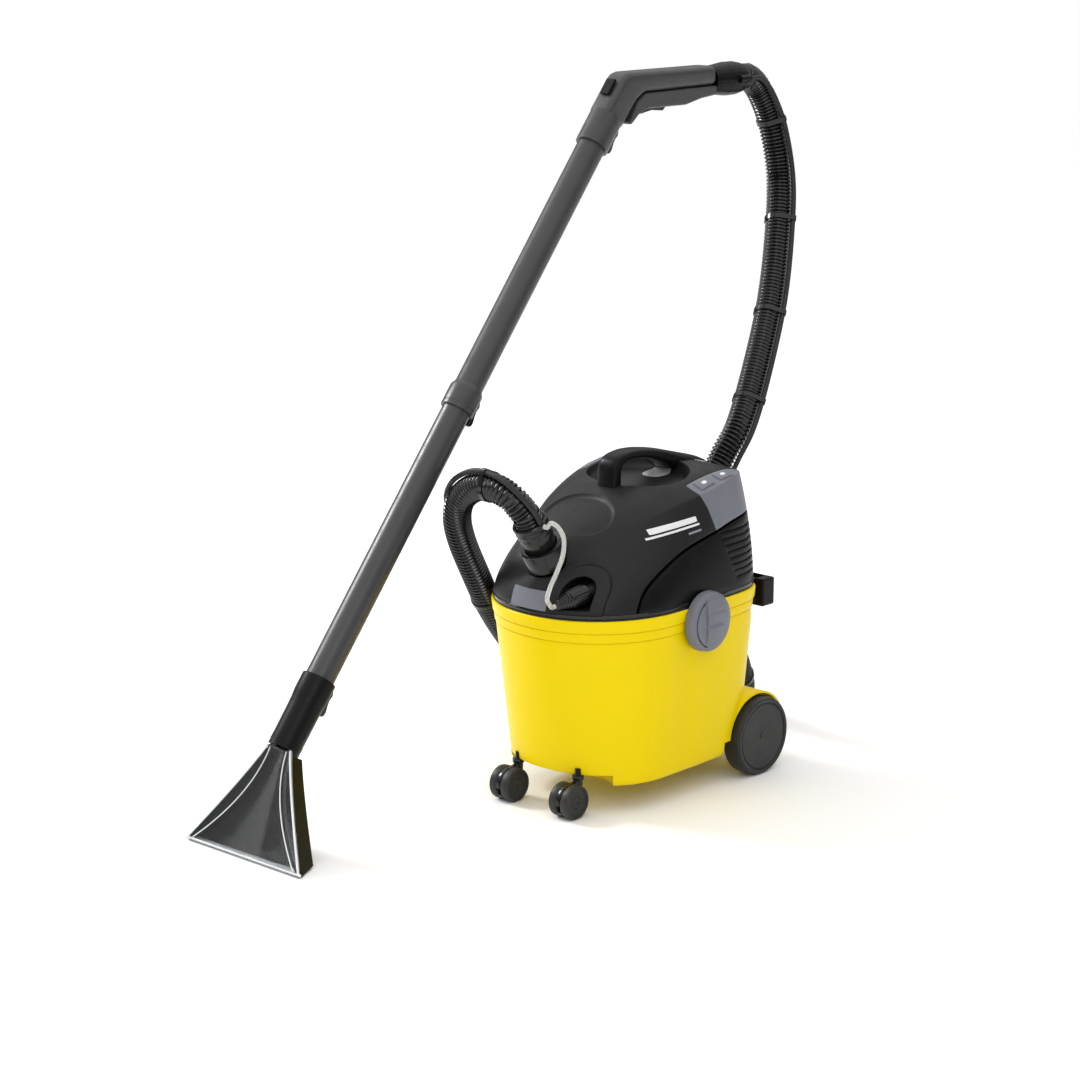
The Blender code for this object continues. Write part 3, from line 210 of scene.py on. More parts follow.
def link(name, bm, shift=True):
    """Close a bmesh into a linked object, moved from machine axes to the shared frame."""
    bmesh.ops.recalc_face_normals(bm, faces=bm.faces[:])
    if shift:
        bmesh.ops.translate(bm, vec=SHIFT, verts=bm.verts)
    mesh = bpy.data.meshes.new(name)
    bm.to_mesh(mesh)
    bm.free()
    obj = bpy.data.objects.new(name, mesh)
    bpy.context.scene.collection.objects.link(obj)
    return obj


def loft_mesh(rings, wrap=False):
    """Faces between equal rings, with flat ends or, wrapped, back to the first ring."""
    bm = bmesh.new()
    rows = [[bm.verts.new(point) for point in ring] for ring in rings]
    count = len(rows[0])
    pairs = list(zip(rows, rows[1:]))
    if wrap:
        pairs.append((rows[-1], rows[0]))
    for low, high in pairs:
        for i in range(count):
            j = (i + 1) % count
            bm.faces.new((low[i], low[j], high[j], high[i]))
    if not wrap:
        bm.faces.new(rows[0][::-1])
        bm.faces.new(rows[-1])
    return bm


def loft(name, rings, **options):
    return link(name, loft_mesh(rings, **options))


def axis_frame(location, axis):
    return Matrix.Translation(location) @ Vector(axis).to_track_quat("Z", "Y").to_matrix().to_4x4()


def lathe(name, profile, location, axis, steps=64, flutes=None):
    """Turn a closed profile of (radius, height) points; flutes may change the radius."""
    place = axis_frame(location, axis)
    rings = []
    for k in range(steps):
        angle = 2 * pi * k / steps
        ring = []
        for radius, height in profile:
            r = flutes(radius, height, angle) if flutes else radius
            ring.append(place @ Vector((max(r, 0.00005) * cos(angle), max(r, 0.00005) * sin(angle), height)))
        rings.append(ring)
    bm = bmesh.new()
    rows = [[bm.verts.new(point) for point in ring] for ring in rings]
    count = len(profile)
    for k in range(steps):
        a, b = rows[k], rows[(k + 1) % steps]
        for i in range(count):
            j = (i + 1) % count
            if profile[i][0] < 0.0001 and profile[j][0] < 0.0001:
                continue
            bm.faces.new((a[i], a[j], b[j], b[i]))
    bmesh.ops.remove_doubles(bm, verts=bm.verts, dist=0.00012)
    return link(name, bm)


def prism(name, outline, low, high, view):
    """A flat outline given thickness: "side" outlines are (y, z) along x, "front" ones (x, z) along y."""
    bm = bmesh.new()
    rows = []
    for depth in (low, high):
        row = [(depth, u, v) if view == "side" else (u, depth, v) for u, v in outline]
        rows.append([bm.verts.new(point) for point in row])
    count = len(outline)
    for i in range(count):
        j = (i + 1) % count
        bm.faces.new((rows[0][i], rows[0][j], rows[1][j], rows[1][i]))
    bm.faces.new(rows[0][::-1])
    bm.faces.new(rows[1])
    return link(name, bm)


def block(name, low, high):
    """A box between two corners."""
    bm = bmesh.new()
    bmesh.ops.create_cube(bm, size=1.0)
    bmesh.ops.scale(bm, vec=[b - a for a, b in zip(low, high)], verts=bm.verts)
    bmesh.ops.translate(bm, vec=[(a + b) / 2 for a, b in zip(low, high)], verts=bm.verts)
    return link(name, bm)


def side_block(name, side, near_x, far_x, low, high):
    """A box on one side of the centre line, between two (y, z) corners."""
    low_x, high_x = sorted((side * near_x, side * far_x))
    return block(name, (low_x, *low), (high_x, *high))


def rod(name, radius, start, end, steps=48):
    start, end = Vector(start), Vector(end)
    bm = bmesh.new()
    turn = (end - start).to_track_quat("Z", "Y").to_matrix().to_4x4()
    bmesh.ops.create_cone(bm, cap_ends=True, segments=steps, radius1=radius, radius2=radius,
                          depth=(end - start).length, matrix=Matrix.Translation((start + end) / 2) @ turn)
    return link(name, bm)


def settle(obj):
    """Apply an object's modifiers to its mesh."""
    bpy.context.view_layer.update()
    evaluated = obj.evaluated_get(bpy.context.evaluated_depsgraph_get())
    mesh = bpy.data.meshes.new_from_object(evaluated)
    obj.modifiers.clear()
    obj.data = mesh
    return obj


def cut(obj, cutters, operation="DIFFERENCE", keep=()):
    """Combine an object with cutters and remove the cutters that aren't kept."""
    for cutter in cutters:
        modifier = obj.modifiers.new("cut", "BOOLEAN")
        modifier.operation = operation
        modifier.object = cutter
    settle(obj)
    for cutter in cutters:
        if cutter not in keep:
            bpy.data.objects.remove(cutter, do_unlink=True)
    return obj


def soften(obj, width, segments=3, angle=38.0):
    modifier = obj.modifiers.new("rounded_edges", "BEVEL")
    modifier.width = width
    modifier.segments = segments
    modifier.limit_method = "ANGLE"
    modifier.angle_limit = radians(angle)
    return settle(obj)


def between(table, value):
    """Read a table of (position, value) pairs on a smooth curve."""
    if value <= table[0][0]:
        return table[0][1]
    if value >= table[-1][0]:
        return table[-1][1]
    k = 0
    while value > table[k + 1][0]:
        k += 1
    (x1, y1), (x2, y2) = table[k], table[k + 1]
    x0, y0 = table[k - 1] if k > 0 else (2 * x1 - x2, 2 * y1 - y2)
    x3, y3 = table[k + 2] if k + 2 < len(table) else (2 * x2 - x1, 2 * y2 - y1)
    m1 = (y2 - y0) / (x2 - x0) * (x2 - x1)
    m2 = (y3 - y1) / (x3 - x1) * (x2 - x1)
    t = (value - x1) / (x2 - x1)
    return ((2 * t ** 3 - 3 * t ** 2 + 1) * y1 + (t ** 3 - 2 * t ** 2 + t) * m1
            + (3 * t ** 2 - 2 * t ** 3) * y2 + (t ** 3 - t ** 2) * m2)


def spline(points, per_span):
    """Points on a smooth curve through the given ones."""
    points = [Vector(p) for p in points]
    padded = [2 * points[0] - points[1]] + points + [2 * points[-1] - points[-2]]
    dense = []
    for a, b, c, d in zip(padded, padded[1:], padded[2:], padded[3:]):
        for step in range(per_span):
            t = step / per_span
            dense.append(0.5 * (2 * b + (c - a) * t + (2 * a - 5 * b + 4 * c - d) * t ** 2
                                + (3 * b - a - 3 * c + d) * t ** 3))
    dense.append(points[-1])
    return dense


def even(points, count):
    """The same line read at evenly spaced points."""
    lengths = [0.0]
    for a, b in zip(points, points[1:]):
        lengths.append(lengths[-1] + (b - a).length)
    route = []
    k = 0
    for i in range(count):
        target = lengths[-1] * i / (count - 1)
        while k < len(points) - 2 and lengths[k + 1] < target:
            k += 1
        t = (target - lengths[k]) / (lengths[k + 1] - lengths[k])
        route.append(points[k].lerp(points[k + 1], t))
    return route


def length_of(points):
    return sum((b - a).length for a, b in zip(points, points[1:]))


def tube_rings(points, radii, steps):
    """Rings round a line, turned as little as possible from one to the next."""
    rings = []
    tangent = (points[1] - points[0]).normalized()
    side = tangent.orthogonal().normalized()
    for k, (point, radius) in enumerate(zip(points, radii)):
        tangent = (points[min(k + 1, len(points) - 1)] - points[max(k - 1, 0)]).normalized()
        side = (side - tangent * side.dot(tangent)).normalized()
        up = tangent.cross(side)
        rings.append([point + (side * cos(2 * pi * i / steps) + up * sin(2 * pi * i / steps)) * radius
                      for i in range(steps)])
    return rings


def tube(name, points, radius, steps=16):
    return loft(name, tube_rings(points, [radius] * len(points), steps))


# ---------------------------------------------------------------- forms shared with the solid parts

GAP = 0.0003
WALL = 0.0028
TANK_BOTTOM_Z, TANK_RIM_Z, TANK_MID_Y = 0.037, 0.266, -0.050
TANK_BOTTOM = (0.117, 0.108, 0.183)
TANK_RIM = (0.1345, 0.140, 0.195)
HEAD_BASE_Z = 0.2683
HEAD_BASE = (0.1345, 0.140, 0.195)
HEAD_CREASE = (0.112, 0.118, 0.185)
WHEEL_Y, WHEEL_RADIUS = 0.140, 0.0535
CASTOR_X, SWIVEL_Y, CASTOR_WHEEL_Y, CASTOR_RADIUS = 0.0525, -0.150, -0.168, 0.0225
LATCH_PIVOT_X, LATCH_PIVOT_Z = 0.1425, 0.212
TUBE_RADIUS, TUBE_BORE, SOCKET_BORE = 0.01925, 0.0175, 0.0196
BUTTONS = (("suction_button", 0.044), ("spray_button", 0.082))
CREASE_MID_Y, CREASE_TIP_Y = 0.050, -0.168
SPINE_HEIGHTS = [(-0.168, 0.3230), (-0.160, 0.3350), (-0.150, 0.3465), (-0.120, 0.3700), (-0.090, 0.3870),
                 (-0.050, 0.4050), (0.0, 0.4195), (0.050, 0.4260), (0.100, 0.4270), (0.135, 0.4180)]
CREASE_HEIGHTS = [(-0.168, 0.3215), (-0.155, 0.3260), (-0.140, 0.3393), (-0.120, 0.3560), (-0.100, 0.3653),
                  (-0.080, 0.3734), (-0.050, 0.3839), (-0.020, 0.3927), (0.0, 0.3978), (0.030, 0.4045),
                  (0.060, 0.4110), (0.100, 0.4175), (0.135, 0.4170)]
TOP_FULLNESS = 3.2
WALL_CURVE = 1.8
HAND_WELL = ((0.0, 0.026), (0.076, 0.058), 0.016)
FRONT_DISH = ((0.0, -0.095), (0.058, 0.036), 0.005)
SHELL_SPLIT = [(-0.117, 0.255), (-0.112, 0.276), (-0.098, 0.298), (-0.068, 0.318), (-0.020, 0.338),
               (0.040, 0.353), (0.090, 0.363), (0.200, 0.372)]
CORNER_FRONT = [(0.018, 0.445), (0.021, 0.408), (0.031, 0.385), (0.043, 0.340)]
CORNER_X = 0.086
INLET_POINT = Vector((0.0, -0.162, 0.350))
INLET_AXIS = Vector((-0.05, -0.50, 0.86)).normalized()
COUPLING_X, COUPLING_Z, COUPLING_HOLE_RADIUS = 0.063, 0.300, 0.0265
LIP_WIDTH = 0.0055                # of the raised arch round the spray coupling
PATCH_THICKNESS = 0.0003
COLLAR_POINT = Vector((0.0640, -0.1480, 0.2980))
COLLAR_AXIS = Vector((-0.37, -0.885, -0.28)).normalized()
WAND_X, WAND_FOOT_Y, WAND_LEAN = -0.142, -0.586, radians(39.2)
LIP_Y, NOZZLE_LEAN, NOZZLE_HEIGHT = -0.556, radians(28.0), 0.146
GRIP_AXIS_Z, GRIP_END_Y, SWIVEL_END_Y = 0.905, 0.336, 0.400
HOSE_RADIUS, LINE_RADIUS = 0.019, 0.0035
LINE_OFFSET = HOSE_RADIUS + LINE_RADIUS + 0.0008
FLANGE_RADIUS = LINE_OFFSET + LINE_RADIUS + 0.0015
CUFF_END = 0.0435


def power(value, exponent):
    return (1 if value >= 0 else -1) * abs(value) ** exponent


def plan_point(angle, size, inset=0.0):
    half_width, front, rear = (value - inset for value in size)
    exponent = 2 / 2.1 if sin(angle) < 0 else 2 / 6.0
    reach = front if sin(angle) < 0 else rear
    return half_width * power(cos(angle), exponent), TANK_MID_Y + reach * power(sin(angle), exponent)


def even_angles(count):
    dense = [2 * pi * i / 5760 for i in range(5761)]
    points = [Vector(plan_point(a, TANK_RIM)) for a in dense]
    lengths = [0.0]
    for a, b in zip(points, points[1:]):
        lengths.append(lengths[-1] + (b - a).length)
    angles = []
    k = 0
    for i in range(count):
        while lengths[k + 1] <= lengths[-1] * i / count:
            k += 1
        angles.append(dense[k])
    return angles


FINE = even_angles(192)
COARSE = even_angles(72)


def plan_ring(size, z, inset=0.0, angles=FINE):
    return [(*plan_point(angle, size, inset), z) for angle in angles]


def tank_size(z):
    share = (z - TANK_BOTTOM_Z) / (TANK_RIM_Z - TANK_BOTTOM_Z)
    return tuple(low + (high - low) * share for low, high in zip(TANK_BOTTOM, TANK_RIM))


def ease(low, high, value):
    t = min(1.0, max(0.0, (value - low) / (high - low)))
    return t * t * (3 - 2 * t)


# ---------------------------------------------------------------- container

def side_relief(x, y, z):
    """The raised side panel and the groove in it, between the latch and the wheel."""
    if abs(x) < 0.100 or z > 0.232:
        return 0.0
    fade = ease(0.232, 0.222, z) * ease(0.040, 0.050, z)
    lean = (0.200 - z) * 0.11
    panel = 0.0016 * ease(-0.0190 + lean, -0.0145 + lean, y) * ease(0.139, 0.132, y)
    groove = 0.0018 * max(0.0, 1 - abs(y - 0.0366 - lean) / 0.0022)
    return (panel - groove) * fade


def tank_ring(z, inset):
    ring = []
    for angle in FINE:
        x, y = plan_point(angle, tank_size(z))
        out = side_relief(x, y, z)
        ring.append((*plan_point(angle, tank_size(z), inset - out), z))
    return ring


def build_container():
    levels = [(0.0370, 0.0100), (0.0374, 0.0062), (0.0388, 0.0030), (0.0410, 0.0010), (0.0440, 0.0)]
    levels += [(0.050 + 0.0093 * k, 0.0) for k in range(20)]
    levels += [(0.2350, 0.0), (0.2356, 0.0009), (0.2364, 0.0009), (0.2370, -0.0010), (0.2380, -0.0013),
               (0.2482, -0.0013), (0.2488, -0.0003), (0.2496, -0.0003), (0.2502, -0.0022), (0.2512, -0.0026),
               (0.2630, -0.0026), (0.2650, -0.0022), (0.2660, -0.0010)]
    shell = loft("container_shell", [tank_ring(z, inset) for z, inset in levels])
    arch = rod("arch", WHEEL_RADIUS + 0.0065, (-0.118, WHEEL_Y, WHEEL_RADIUS),
               (0.118, WHEEL_Y, WHEEL_RADIUS), 96)
    lugs = [side_block("lug", side, 0.130, 0.1465, (-0.0165, 0.208), (0.0165, 0.216)) for side in (-1, 1)]
    cut(shell, [arch] + lugs, "UNION")
    cavity = loft("cavity", [plan_ring(tank_size(z), z, WALL, COARSE) for z in (0.064, 0.160, 0.270)])
    cut(cavity, [side_block("clearance", side, 0.0950, 0.160, (0.074, 0.05),
                            (0.20, 0.1175)) for side in (-1, 1)])
    cutters = [cavity, block("under", (-0.098, -0.098, 0.020), (0.098, 0.074, 0.0585)),
               block("bay", (-0.0525, -0.210, 0.020), (0.0525, -0.112, 0.0535)),
               block("rear_floor", (-0.0972, 0.076, -0.02), (0.0972, 0.240, 0.038))]
    for side in (-1, 1):
        cutters.append(rod("recess", WHEEL_RADIUS + 0.0035, (side * 0.0985, WHEEL_Y, WHEEL_RADIUS),
                           (side * 0.160, WHEEL_Y, WHEEL_RADIUS), 96))
        cutters.append(side_block("trim", side, 0.0978, 0.160, (0.130, 0.0), (0.230, 0.080)))
        cutters.append(side_block("foot", side, 0.0970, 0.165, (0.070, -0.01), (0.235, 0.058)))
        cutters.append(rod("sweep", 0.0455, (side * CASTOR_X, SWIVEL_Y, 0.020),
                           (side * CASTOR_X, SWIVEL_Y, 0.0535), 96))
        cutters.append(side_block("knuckle", side, 0.1368, 0.160, (-0.0108, 0.20), (0.0108, 0.2185)))
        cutters.append(rod("pin_bore", 0.0023, (side * LATCH_PIVOT_X, -0.03, LATCH_PIVOT_Z),
                           (side * LATCH_PIVOT_X, 0.03, LATCH_PIVOT_Z), 20))
        cutters.append(rod("stem_bore", 0.0043, (side * CASTOR_X, SWIVEL_Y, 0.04),
                           (side * CASTOR_X, SWIVEL_Y, 0.0622), 24))
    cutters.append(rod("axle_bore", 0.0043, (-0.14, WHEEL_Y, WHEEL_RADIUS), (0.14, WHEEL_Y, WHEEL_RADIUS),
                       24))
    cut(shell, cutters)
    soften(shell, 0.0009, 2, 44.0)
    finish_piece(shell, YELLOW, "container", ["container"], 40.0)


def build_rear_wheels():
    radius, width = WHEEL_RADIUS, 0.0290
    outer = [(0.0, width - 0.0022), (0.0100, width - 0.0022), (0.0440, width - 0.0012),
             (0.0450, width - 0.0024),
             (0.0462, width - 0.0024), (0.0470, width - 0.0008), (0.0500, width), (0.0520, width - 0.0010),
             (0.0532, width - 0.0030), (radius, width - 0.0060)]
    profile = outer + [(radius, 0.0050), (0.0530, 0.0020), (0.0510, 0.0), (0.0043, 0.0), (0.0043, 0.0274),
                       (0.0, 0.0274)]
    for label, side in (("left", -1), ("right", 1)):
        wheel = lathe(f"rear_wheel_{label}_disc", profile, (side * 0.1010, WHEEL_Y, WHEEL_RADIUS),
                      (side, 0, 0), 96)
        finish_piece(wheel, WHEEL, f"rear_wheel_{label}", [f"rear_wheel_{label}"], 28.0)


def build_castor(label, x):
    """Twin wheels with a stepped rim and hub, either side of a hooded fork."""
    wheel_y, z = CASTOR_WHEEL_Y, CASTOR_RADIUS
    profile = [(0.0, 0.0112), (0.0068, 0.0112), (0.0074, 0.0120), (0.0081, 0.0120), (0.0088, 0.0110),
               (0.0180, 0.0110),
               (0.0187, 0.0126), (0.0204, 0.0129), (0.0218, 0.0116), (0.0225, 0.0094), (0.0225, 0.0026),
               (0.0218, 0.0009), (0.0207, 0.0), (0.0026, 0.0), (0.0026, 0.0104), (0.0, 0.0104)]
    for name, side in (("inner", -1), ("outer", 1)):
        wheel = lathe(f"castor_{label}_{name}_disc", profile, (x + side * 0.0036, wheel_y, z), (side, 0, 0),
                      56)
        node = f"castor_wheel_{label}_{name}"
        finish_piece(wheel, WHEEL, node, [node], 28.0)
    hood = rod(f"castor_{label}_hood", 0.0217, (x - 0.0031, wheel_y, z), (x + 0.0031, wheel_y, z), 64)
    neck = prism("neck", [(-0.1640, 0.0300), (-0.1455, 0.0300), (-0.1445, 0.0430), (-0.1458, 0.0490),
                          (-0.1542, 0.0490),
                          (-0.1560, 0.0450), (-0.1680, 0.0435), (-0.1680, 0.0380)], x - 0.0034, x + 0.0034,
                 "side")
    stem = rod("stem", 0.0040, (x, SWIVEL_Y, 0.0380), (x, SWIVEL_Y, 0.0620), 32)
    flange = rod("flange", 0.0078, (x, SWIVEL_Y, 0.0475), (x, SWIVEL_Y, 0.0532), 40)
    cut(hood, [neck, flange, stem], "UNION")
    cut(hood, [rod("bore", 0.0026, (x - 0.03, wheel_y, z), (x + 0.03, wheel_y, z), 20),
               block("window", (x - 0.01, -0.1960, 0.0100), (x + 0.01, -0.1830, 0.0200))])
    soften(hood, 0.0006, 2, 44.0)
    finish_piece(hood, GLOSS_BLACK, f"castor_{label}", [f"castor_fork_{label}"], 40.0)


def build_latch(label, side):
    """A domed round clip with a raised lever, folded twice, and a crescent groove beside it."""
    place = (side * 0.1378, 0.0, 0.245)
    profile = [(0.0, 0.0172), (0.0150, 0.0169), (0.0280, 0.0158), (0.0345, 0.0144), (0.0380, 0.0124),
               (0.0395, 0.0098), (0.0400, 0.0070), (0.0400, 0.0), (0.0, 0.0)]
    disc = lathe(f"latch_{label}_disc", profile, place, (side, 0, 0), 96)
    pocket = side_block("pocket", side, 0.130, 0.1490, (-0.0175, 0.195), (0.0175, 0.2195))
    ring = lathe("crescent", [(0.0318, 0.026), (0.0340, 0.026), (0.0340, 0.0122), (0.0318, 0.0122)], place,
                 (side, 0, 0), 96)
    cut(ring, [side_block("mask", side, 0.130, 0.170, (-0.0120, 0.200), (0.060, 0.300))])
    cut(disc, [pocket, ring])
    tab = side_block("tab", side, 0.1395, 0.1480, (-0.0100, 0.2120), (0.0100, 0.2250))
    knuckle = rod("knuckle", 0.0045, (side * LATCH_PIVOT_X, -0.0100, LATCH_PIVOT_Z),
                  (side * LATCH_PIVOT_X, 0.0100, LATCH_PIVOT_Z), 32)
    outline = [(0.1490, 0.2180), (0.1545, 0.2190), (0.1572, 0.2285), (0.1578, 0.2395), (0.1556, 0.2423),
               (0.1578, 0.2455), (0.1583, 0.2570), (0.1564, 0.2610), (0.1572, 0.2640), (0.1548, 0.2740),
               (0.1490, 0.2760)]
    lever = prism("lever", [(side * x, z) for x, z in outline], -0.0150, 0.0170, "front")
    soften(lever, 0.0012, 3, 24.0)
    cut(disc, [tab, knuckle, lever], "UNION")
    cut(disc, [rod("bore", 0.0023, (side * LATCH_PIVOT_X, -0.02, LATCH_PIVOT_Z),
                   (side * LATCH_PIVOT_X, 0.02, LATCH_PIVOT_Z), 20)])
    finish_piece(disc, BLUE_GREY, f"latch_{label}", [f"latch_{label}"], 30.0)


# ---------------------------------------------------------------- head

def plain_half_width(y):
    half_width, front, rear = HEAD_CREASE
    reach, exponent = (front, 2.1) if y < TANK_MID_Y else (rear, 6.0)
    share = min(1.0, abs(y - TANK_MID_Y) / reach)
    return half_width * (1 - share ** exponent) ** (1 / exponent)


def narrowing(y):
    """How much narrower the top's edge line runs towards the front."""
    share = min(1.0, max(0.0, (CREASE_MID_Y - y) / (CREASE_MID_Y - CREASE_TIP_Y)))
    return 1 - 0.56 * share ** 1.35


def crease_half_width(y):
    return plain_half_width(y) * narrowing(y)


def crease_point(angle, inset=0.0):
    x, y = plan_point(angle, HEAD_CREASE, inset)
    return x * narrowing(plan_point(angle, HEAD_CREASE)[1]), y


def wall_point(angle, share, inset=0.0, base_z=HEAD_BASE_Z):
    """A point of the side wall, a share of the way up from the base to the edge line."""
    base = Vector(plan_point(angle, HEAD_BASE, inset))
    x, y = base.lerp(Vector(crease_point(angle, inset)), share ** WALL_CURVE)
    top = bare_height(*crease_point(angle)) - inset
    return Vector((x, y, base_z + (top - base_z) * share))


def dent(x, y, hollow, grow):
    centre, radii, depth = hollow
    distance = ((x - centre[0]) / (radii[0] + grow)) ** 2 + ((y - centre[1]) / (radii[1] + grow)) ** 2
    share = min(1.0, max(0.0, (1 - distance) / 0.45))
    return depth * share * (2 - share)


def bare_height(x, y):
    """The top surface before its two hollows are cut."""
    edge = between(CREASE_HEIGHTS, y)
    spine = between(SPINE_HEIGHTS, y)
    across = min(1.0, abs(x) / max(crease_half_width(y), 0.004))
    return edge + (spine - edge) * (1 - across ** TOP_FULLNESS)


def head_height(x, y, grow=0.0):
    return bare_height(x, y) - dent(x, y, HAND_WELL, grow) - dent(x, y, FRONT_DISH, grow)


def bowl(name, hollow):
    """A cutter with a clear rim, a steep wall and a flat floor that follows the top surface."""
    (centre_x, centre_y), (half_x, half_y), depth = hollow
    steps = [(1.03, -1.0), (1.0, -0.10), (0.985, 0.12), (0.955, 0.52), (0.92, 0.80), (0.87, 0.94),
             (0.80, 1.0),
             (0.65, 1.0), (0.50, 1.0), (0.35, 1.0), (0.20, 1.0), (0.06, 1.0)]
    rings = []
    for share, drop in steps:
        ring = []
        for k in range(120):
            x = centre_x + half_x * share * cos(2 * pi * k / 120)
            y = centre_y + half_y * share * sin(2 * pi * k / 120)
            ring.append((x, y, bare_height(x, y) - depth * drop))
        rings.append(ring)
    rings[0] = [(x, y, 0.470) for x, y, _ in rings[0]]
    return loft(name, rings)


def head_rings(inset, base_z, angles, shares, height):
    rings = [plan_ring(HEAD_BASE, base_z, inset, angles)]
    for share in (0.02, 0.10, 0.20, 0.30, 0.40, 0.50, 0.60, 0.70, 0.80, 0.88, 0.94, 0.98):
        rings.append([wall_point(angle, share, inset, base_z) for angle in angles])
    for share in shares:
        ring = []
        for angle in angles:
            x, y = (reach * share for reach in crease_point(angle))
            scale = 1 - inset / HEAD_CREASE[0]
            ring.append((x * scale, y * scale, height(x, y) - inset))
        rings.append(ring)
    return rings


def head_form(name, inset):
    """The outer form, before its hollows are cut."""
    shares = (1.0, 0.99, 0.97, 0.94, 0.90, 0.85, 0.80, 0.74, 0.68, 0.61, 0.54, 0.47, 0.40, 0.32, 0.24, 0.16,
              0.10, 0.05)
    return loft(name, head_rings(inset, HEAD_BASE_Z, FINE, shares, bare_height))


def inner_form(name, inset, grow, base_z=HEAD_BASE_Z):
    """A coarser form with its hollows in it, to cut the inside and the seats."""
    shares = (0.985, 0.94, 0.88, 0.80, 0.72, 0.64, 0.55, 0.45, 0.34, 0.22, 0.12, 0.05)
    return loft(name, head_rings(inset, base_z, COARSE, shares, lambda x, y: head_height(x, y, grow)))


def side_point(y, z, side=1, out=0.0):
    """The point of the right side wall at a depth and a height."""
    front, rear = -pi / 2, pi / 2
    for _ in range(30):
        angle = (front + rear) / 2
        top = bare_height(*crease_point(angle))
        share = min(1.0, max(0.0, (z - HEAD_BASE_Z) / (top - HEAD_BASE_Z)))
        point = wall_point(angle, share)
        if point.y < y:
            front = angle
        else:
            rear = angle
    return Vector((side * (point.x + out), y, z))


def split_curve():
    points = spline([(y, z, 0) for y, z in SHELL_SPLIT], 6)
    return [(p.x, p.y) for p in points]


def split_form(name, gap):
    outline = [(y + gap, z - gap) for y, z in split_curve()] + [(0.2, 0.255)]
    return prism(name, outline, -0.2, 0.2, "side")


def corner_form(name, side, gap):
    outline = [(y + gap, z) for y, z in CORNER_FRONT] + [(0.2, 0.340), (0.2, 0.445)]
    low, high = sorted((side * (CORNER_X + gap), side * 0.2))
    return prism(name, outline, low, high, "side")


def recess_form(name, grow, low_y, high_y):
    radius = COUPLING_HOLE_RADIUS + grow
    outline = [(COUPLING_X - radius, 0.2725 - grow), (COUPLING_X + radius, 0.2725 - grow)]
    for k in range(25):
        angle = pi * k / 24
        outline.append((COUPLING_X + radius * cos(angle), COUPLING_Z + radius * sin(angle)))
    return prism(name, outline, low_y, high_y, "front")


def button_form(name, y, grow, low_z):
    half = 0.013 + grow
    form = block(name, (0.0905 - grow, y - half, low_z), (0.1055 + grow, y + half, 0.450))
    return soften(form, 0.0025 + grow, 4, 60.0)


def louvre_cutters():
    """Wavy horizontal slots in the rear of the lower shell, left proud at the shell's inner skin."""
    cutters = []
    core = inner_form("louvre_core", 0.0016, 0.0)
    for k in range(8):
        z = 0.2900 + 0.0088 * k
        start = 0.0693 - (z - 0.2956) * 0.46
        outline = [(start, z - 0.0014), (0.105, z - 0.0014), (0.160, z + 0.0010), (0.160, z + 0.0042),
                   (0.105, z + 0.0018),
                   (start, z + 0.0018)]
        slot = prism(f"louvre_{k}", outline, -0.2, 0.2, "side")
        cut(slot, [core], keep=[core])
        cutters.append(slot)
    bpy.data.objects.remove(core, do_unlink=True)
    return cutters


def build_shells():
    hollow = inner_form("hollow", WALL, 0.012, HEAD_BASE_Z - 0.010)
    upper = head_form("upper_cover", 0.0)
    base_cut = block("base_cut", (-0.2, -0.25, 0.25), (0.2, 0.25, 0.2742))
    split = split_form("split", -0.0028)
    corners = {side: corner_form(f"corner_{side}", side, -0.0006) for side in (-1, 1)}
    coupling = recess_form("coupling_hole", LIP_WIDTH + 0.0004, -0.25, -0.10)
    inlet = rod("inlet_hole", 0.0290 + 0.0005, INLET_POINT - INLET_AXIS * 0.04,
                INLET_POINT + INLET_AXIS * 0.06, 96)
    bowls = [bowl("hand_well", HAND_WELL), bowl("front_dish", FRONT_DISH)]
    cut(upper, [hollow, split, corners[1], corners[-1], inlet, coupling, base_cut] + bowls,
        keep=[hollow, split, base_cut])
    soften(upper, 0.0009, 2, 40.0)
    finish_piece(upper, DARK_GREY, "head", ["upper_shell"], 38.0)

    lower = head_form("lower_cover", 0.0)
    cut(lower, [hollow, base_cut], keep=[hollow])
    cut(lower, [split_form("lower_form", 0.0004)], "INTERSECT")
    cut(lower, louvre_cutters())
    soften(lower, 0.0007, 2, 44.0)
    finish_piece(lower, BLACK, "head", ["lower_shell"], 40.0)

    for label, side in (("left", -1), ("right", 1)):
        panel = head_form(f"corner_{label}_cover", 0.0)
        cut(panel, [hollow, split], keep=[hollow, split])
        cut(panel, [corner_form("corner", side, 0.0004)], "INTERSECT")
        if side == 1:
            cut(panel, [button_form(name + "_hole", y, 0.0006, 0.340) for name, y in BUTTONS])
        soften(panel, 0.0008, 2, 40.0)
        finish_piece(panel, BLUE_GREY, "head", [f"corner_panel_{label}"], 38.0)
    for spare in (hollow, split):
        bpy.data.objects.remove(spare, do_unlink=True)

    section = [(-0.0002, 0.2690), (-0.0006, 0.2696), (-0.0006, 0.2732), (-0.0001, 0.2738), (WALL, 0.2738),
               (WALL, 0.2690)]
    rings = [plan_ring(HEAD_BASE, z, inset) for inset, z in section]
    skirt = loft("head_skirt", rings, wrap=True)
    finish_piece(skirt, GLOSS_BLACK, "head", angle=40.0)


def build_buttons():
    for name, y in BUTTONS:
        key = button_form(name + "_cap", y, 0.0, 0.390)
        cut(key, [inner_form("button_top", -0.0016, 0.0)], "INTERSECT")
        soften(key, 0.0008, 2, 50.0)
        finish_piece(key, BLUE_GREY, name, [name], 38.0)


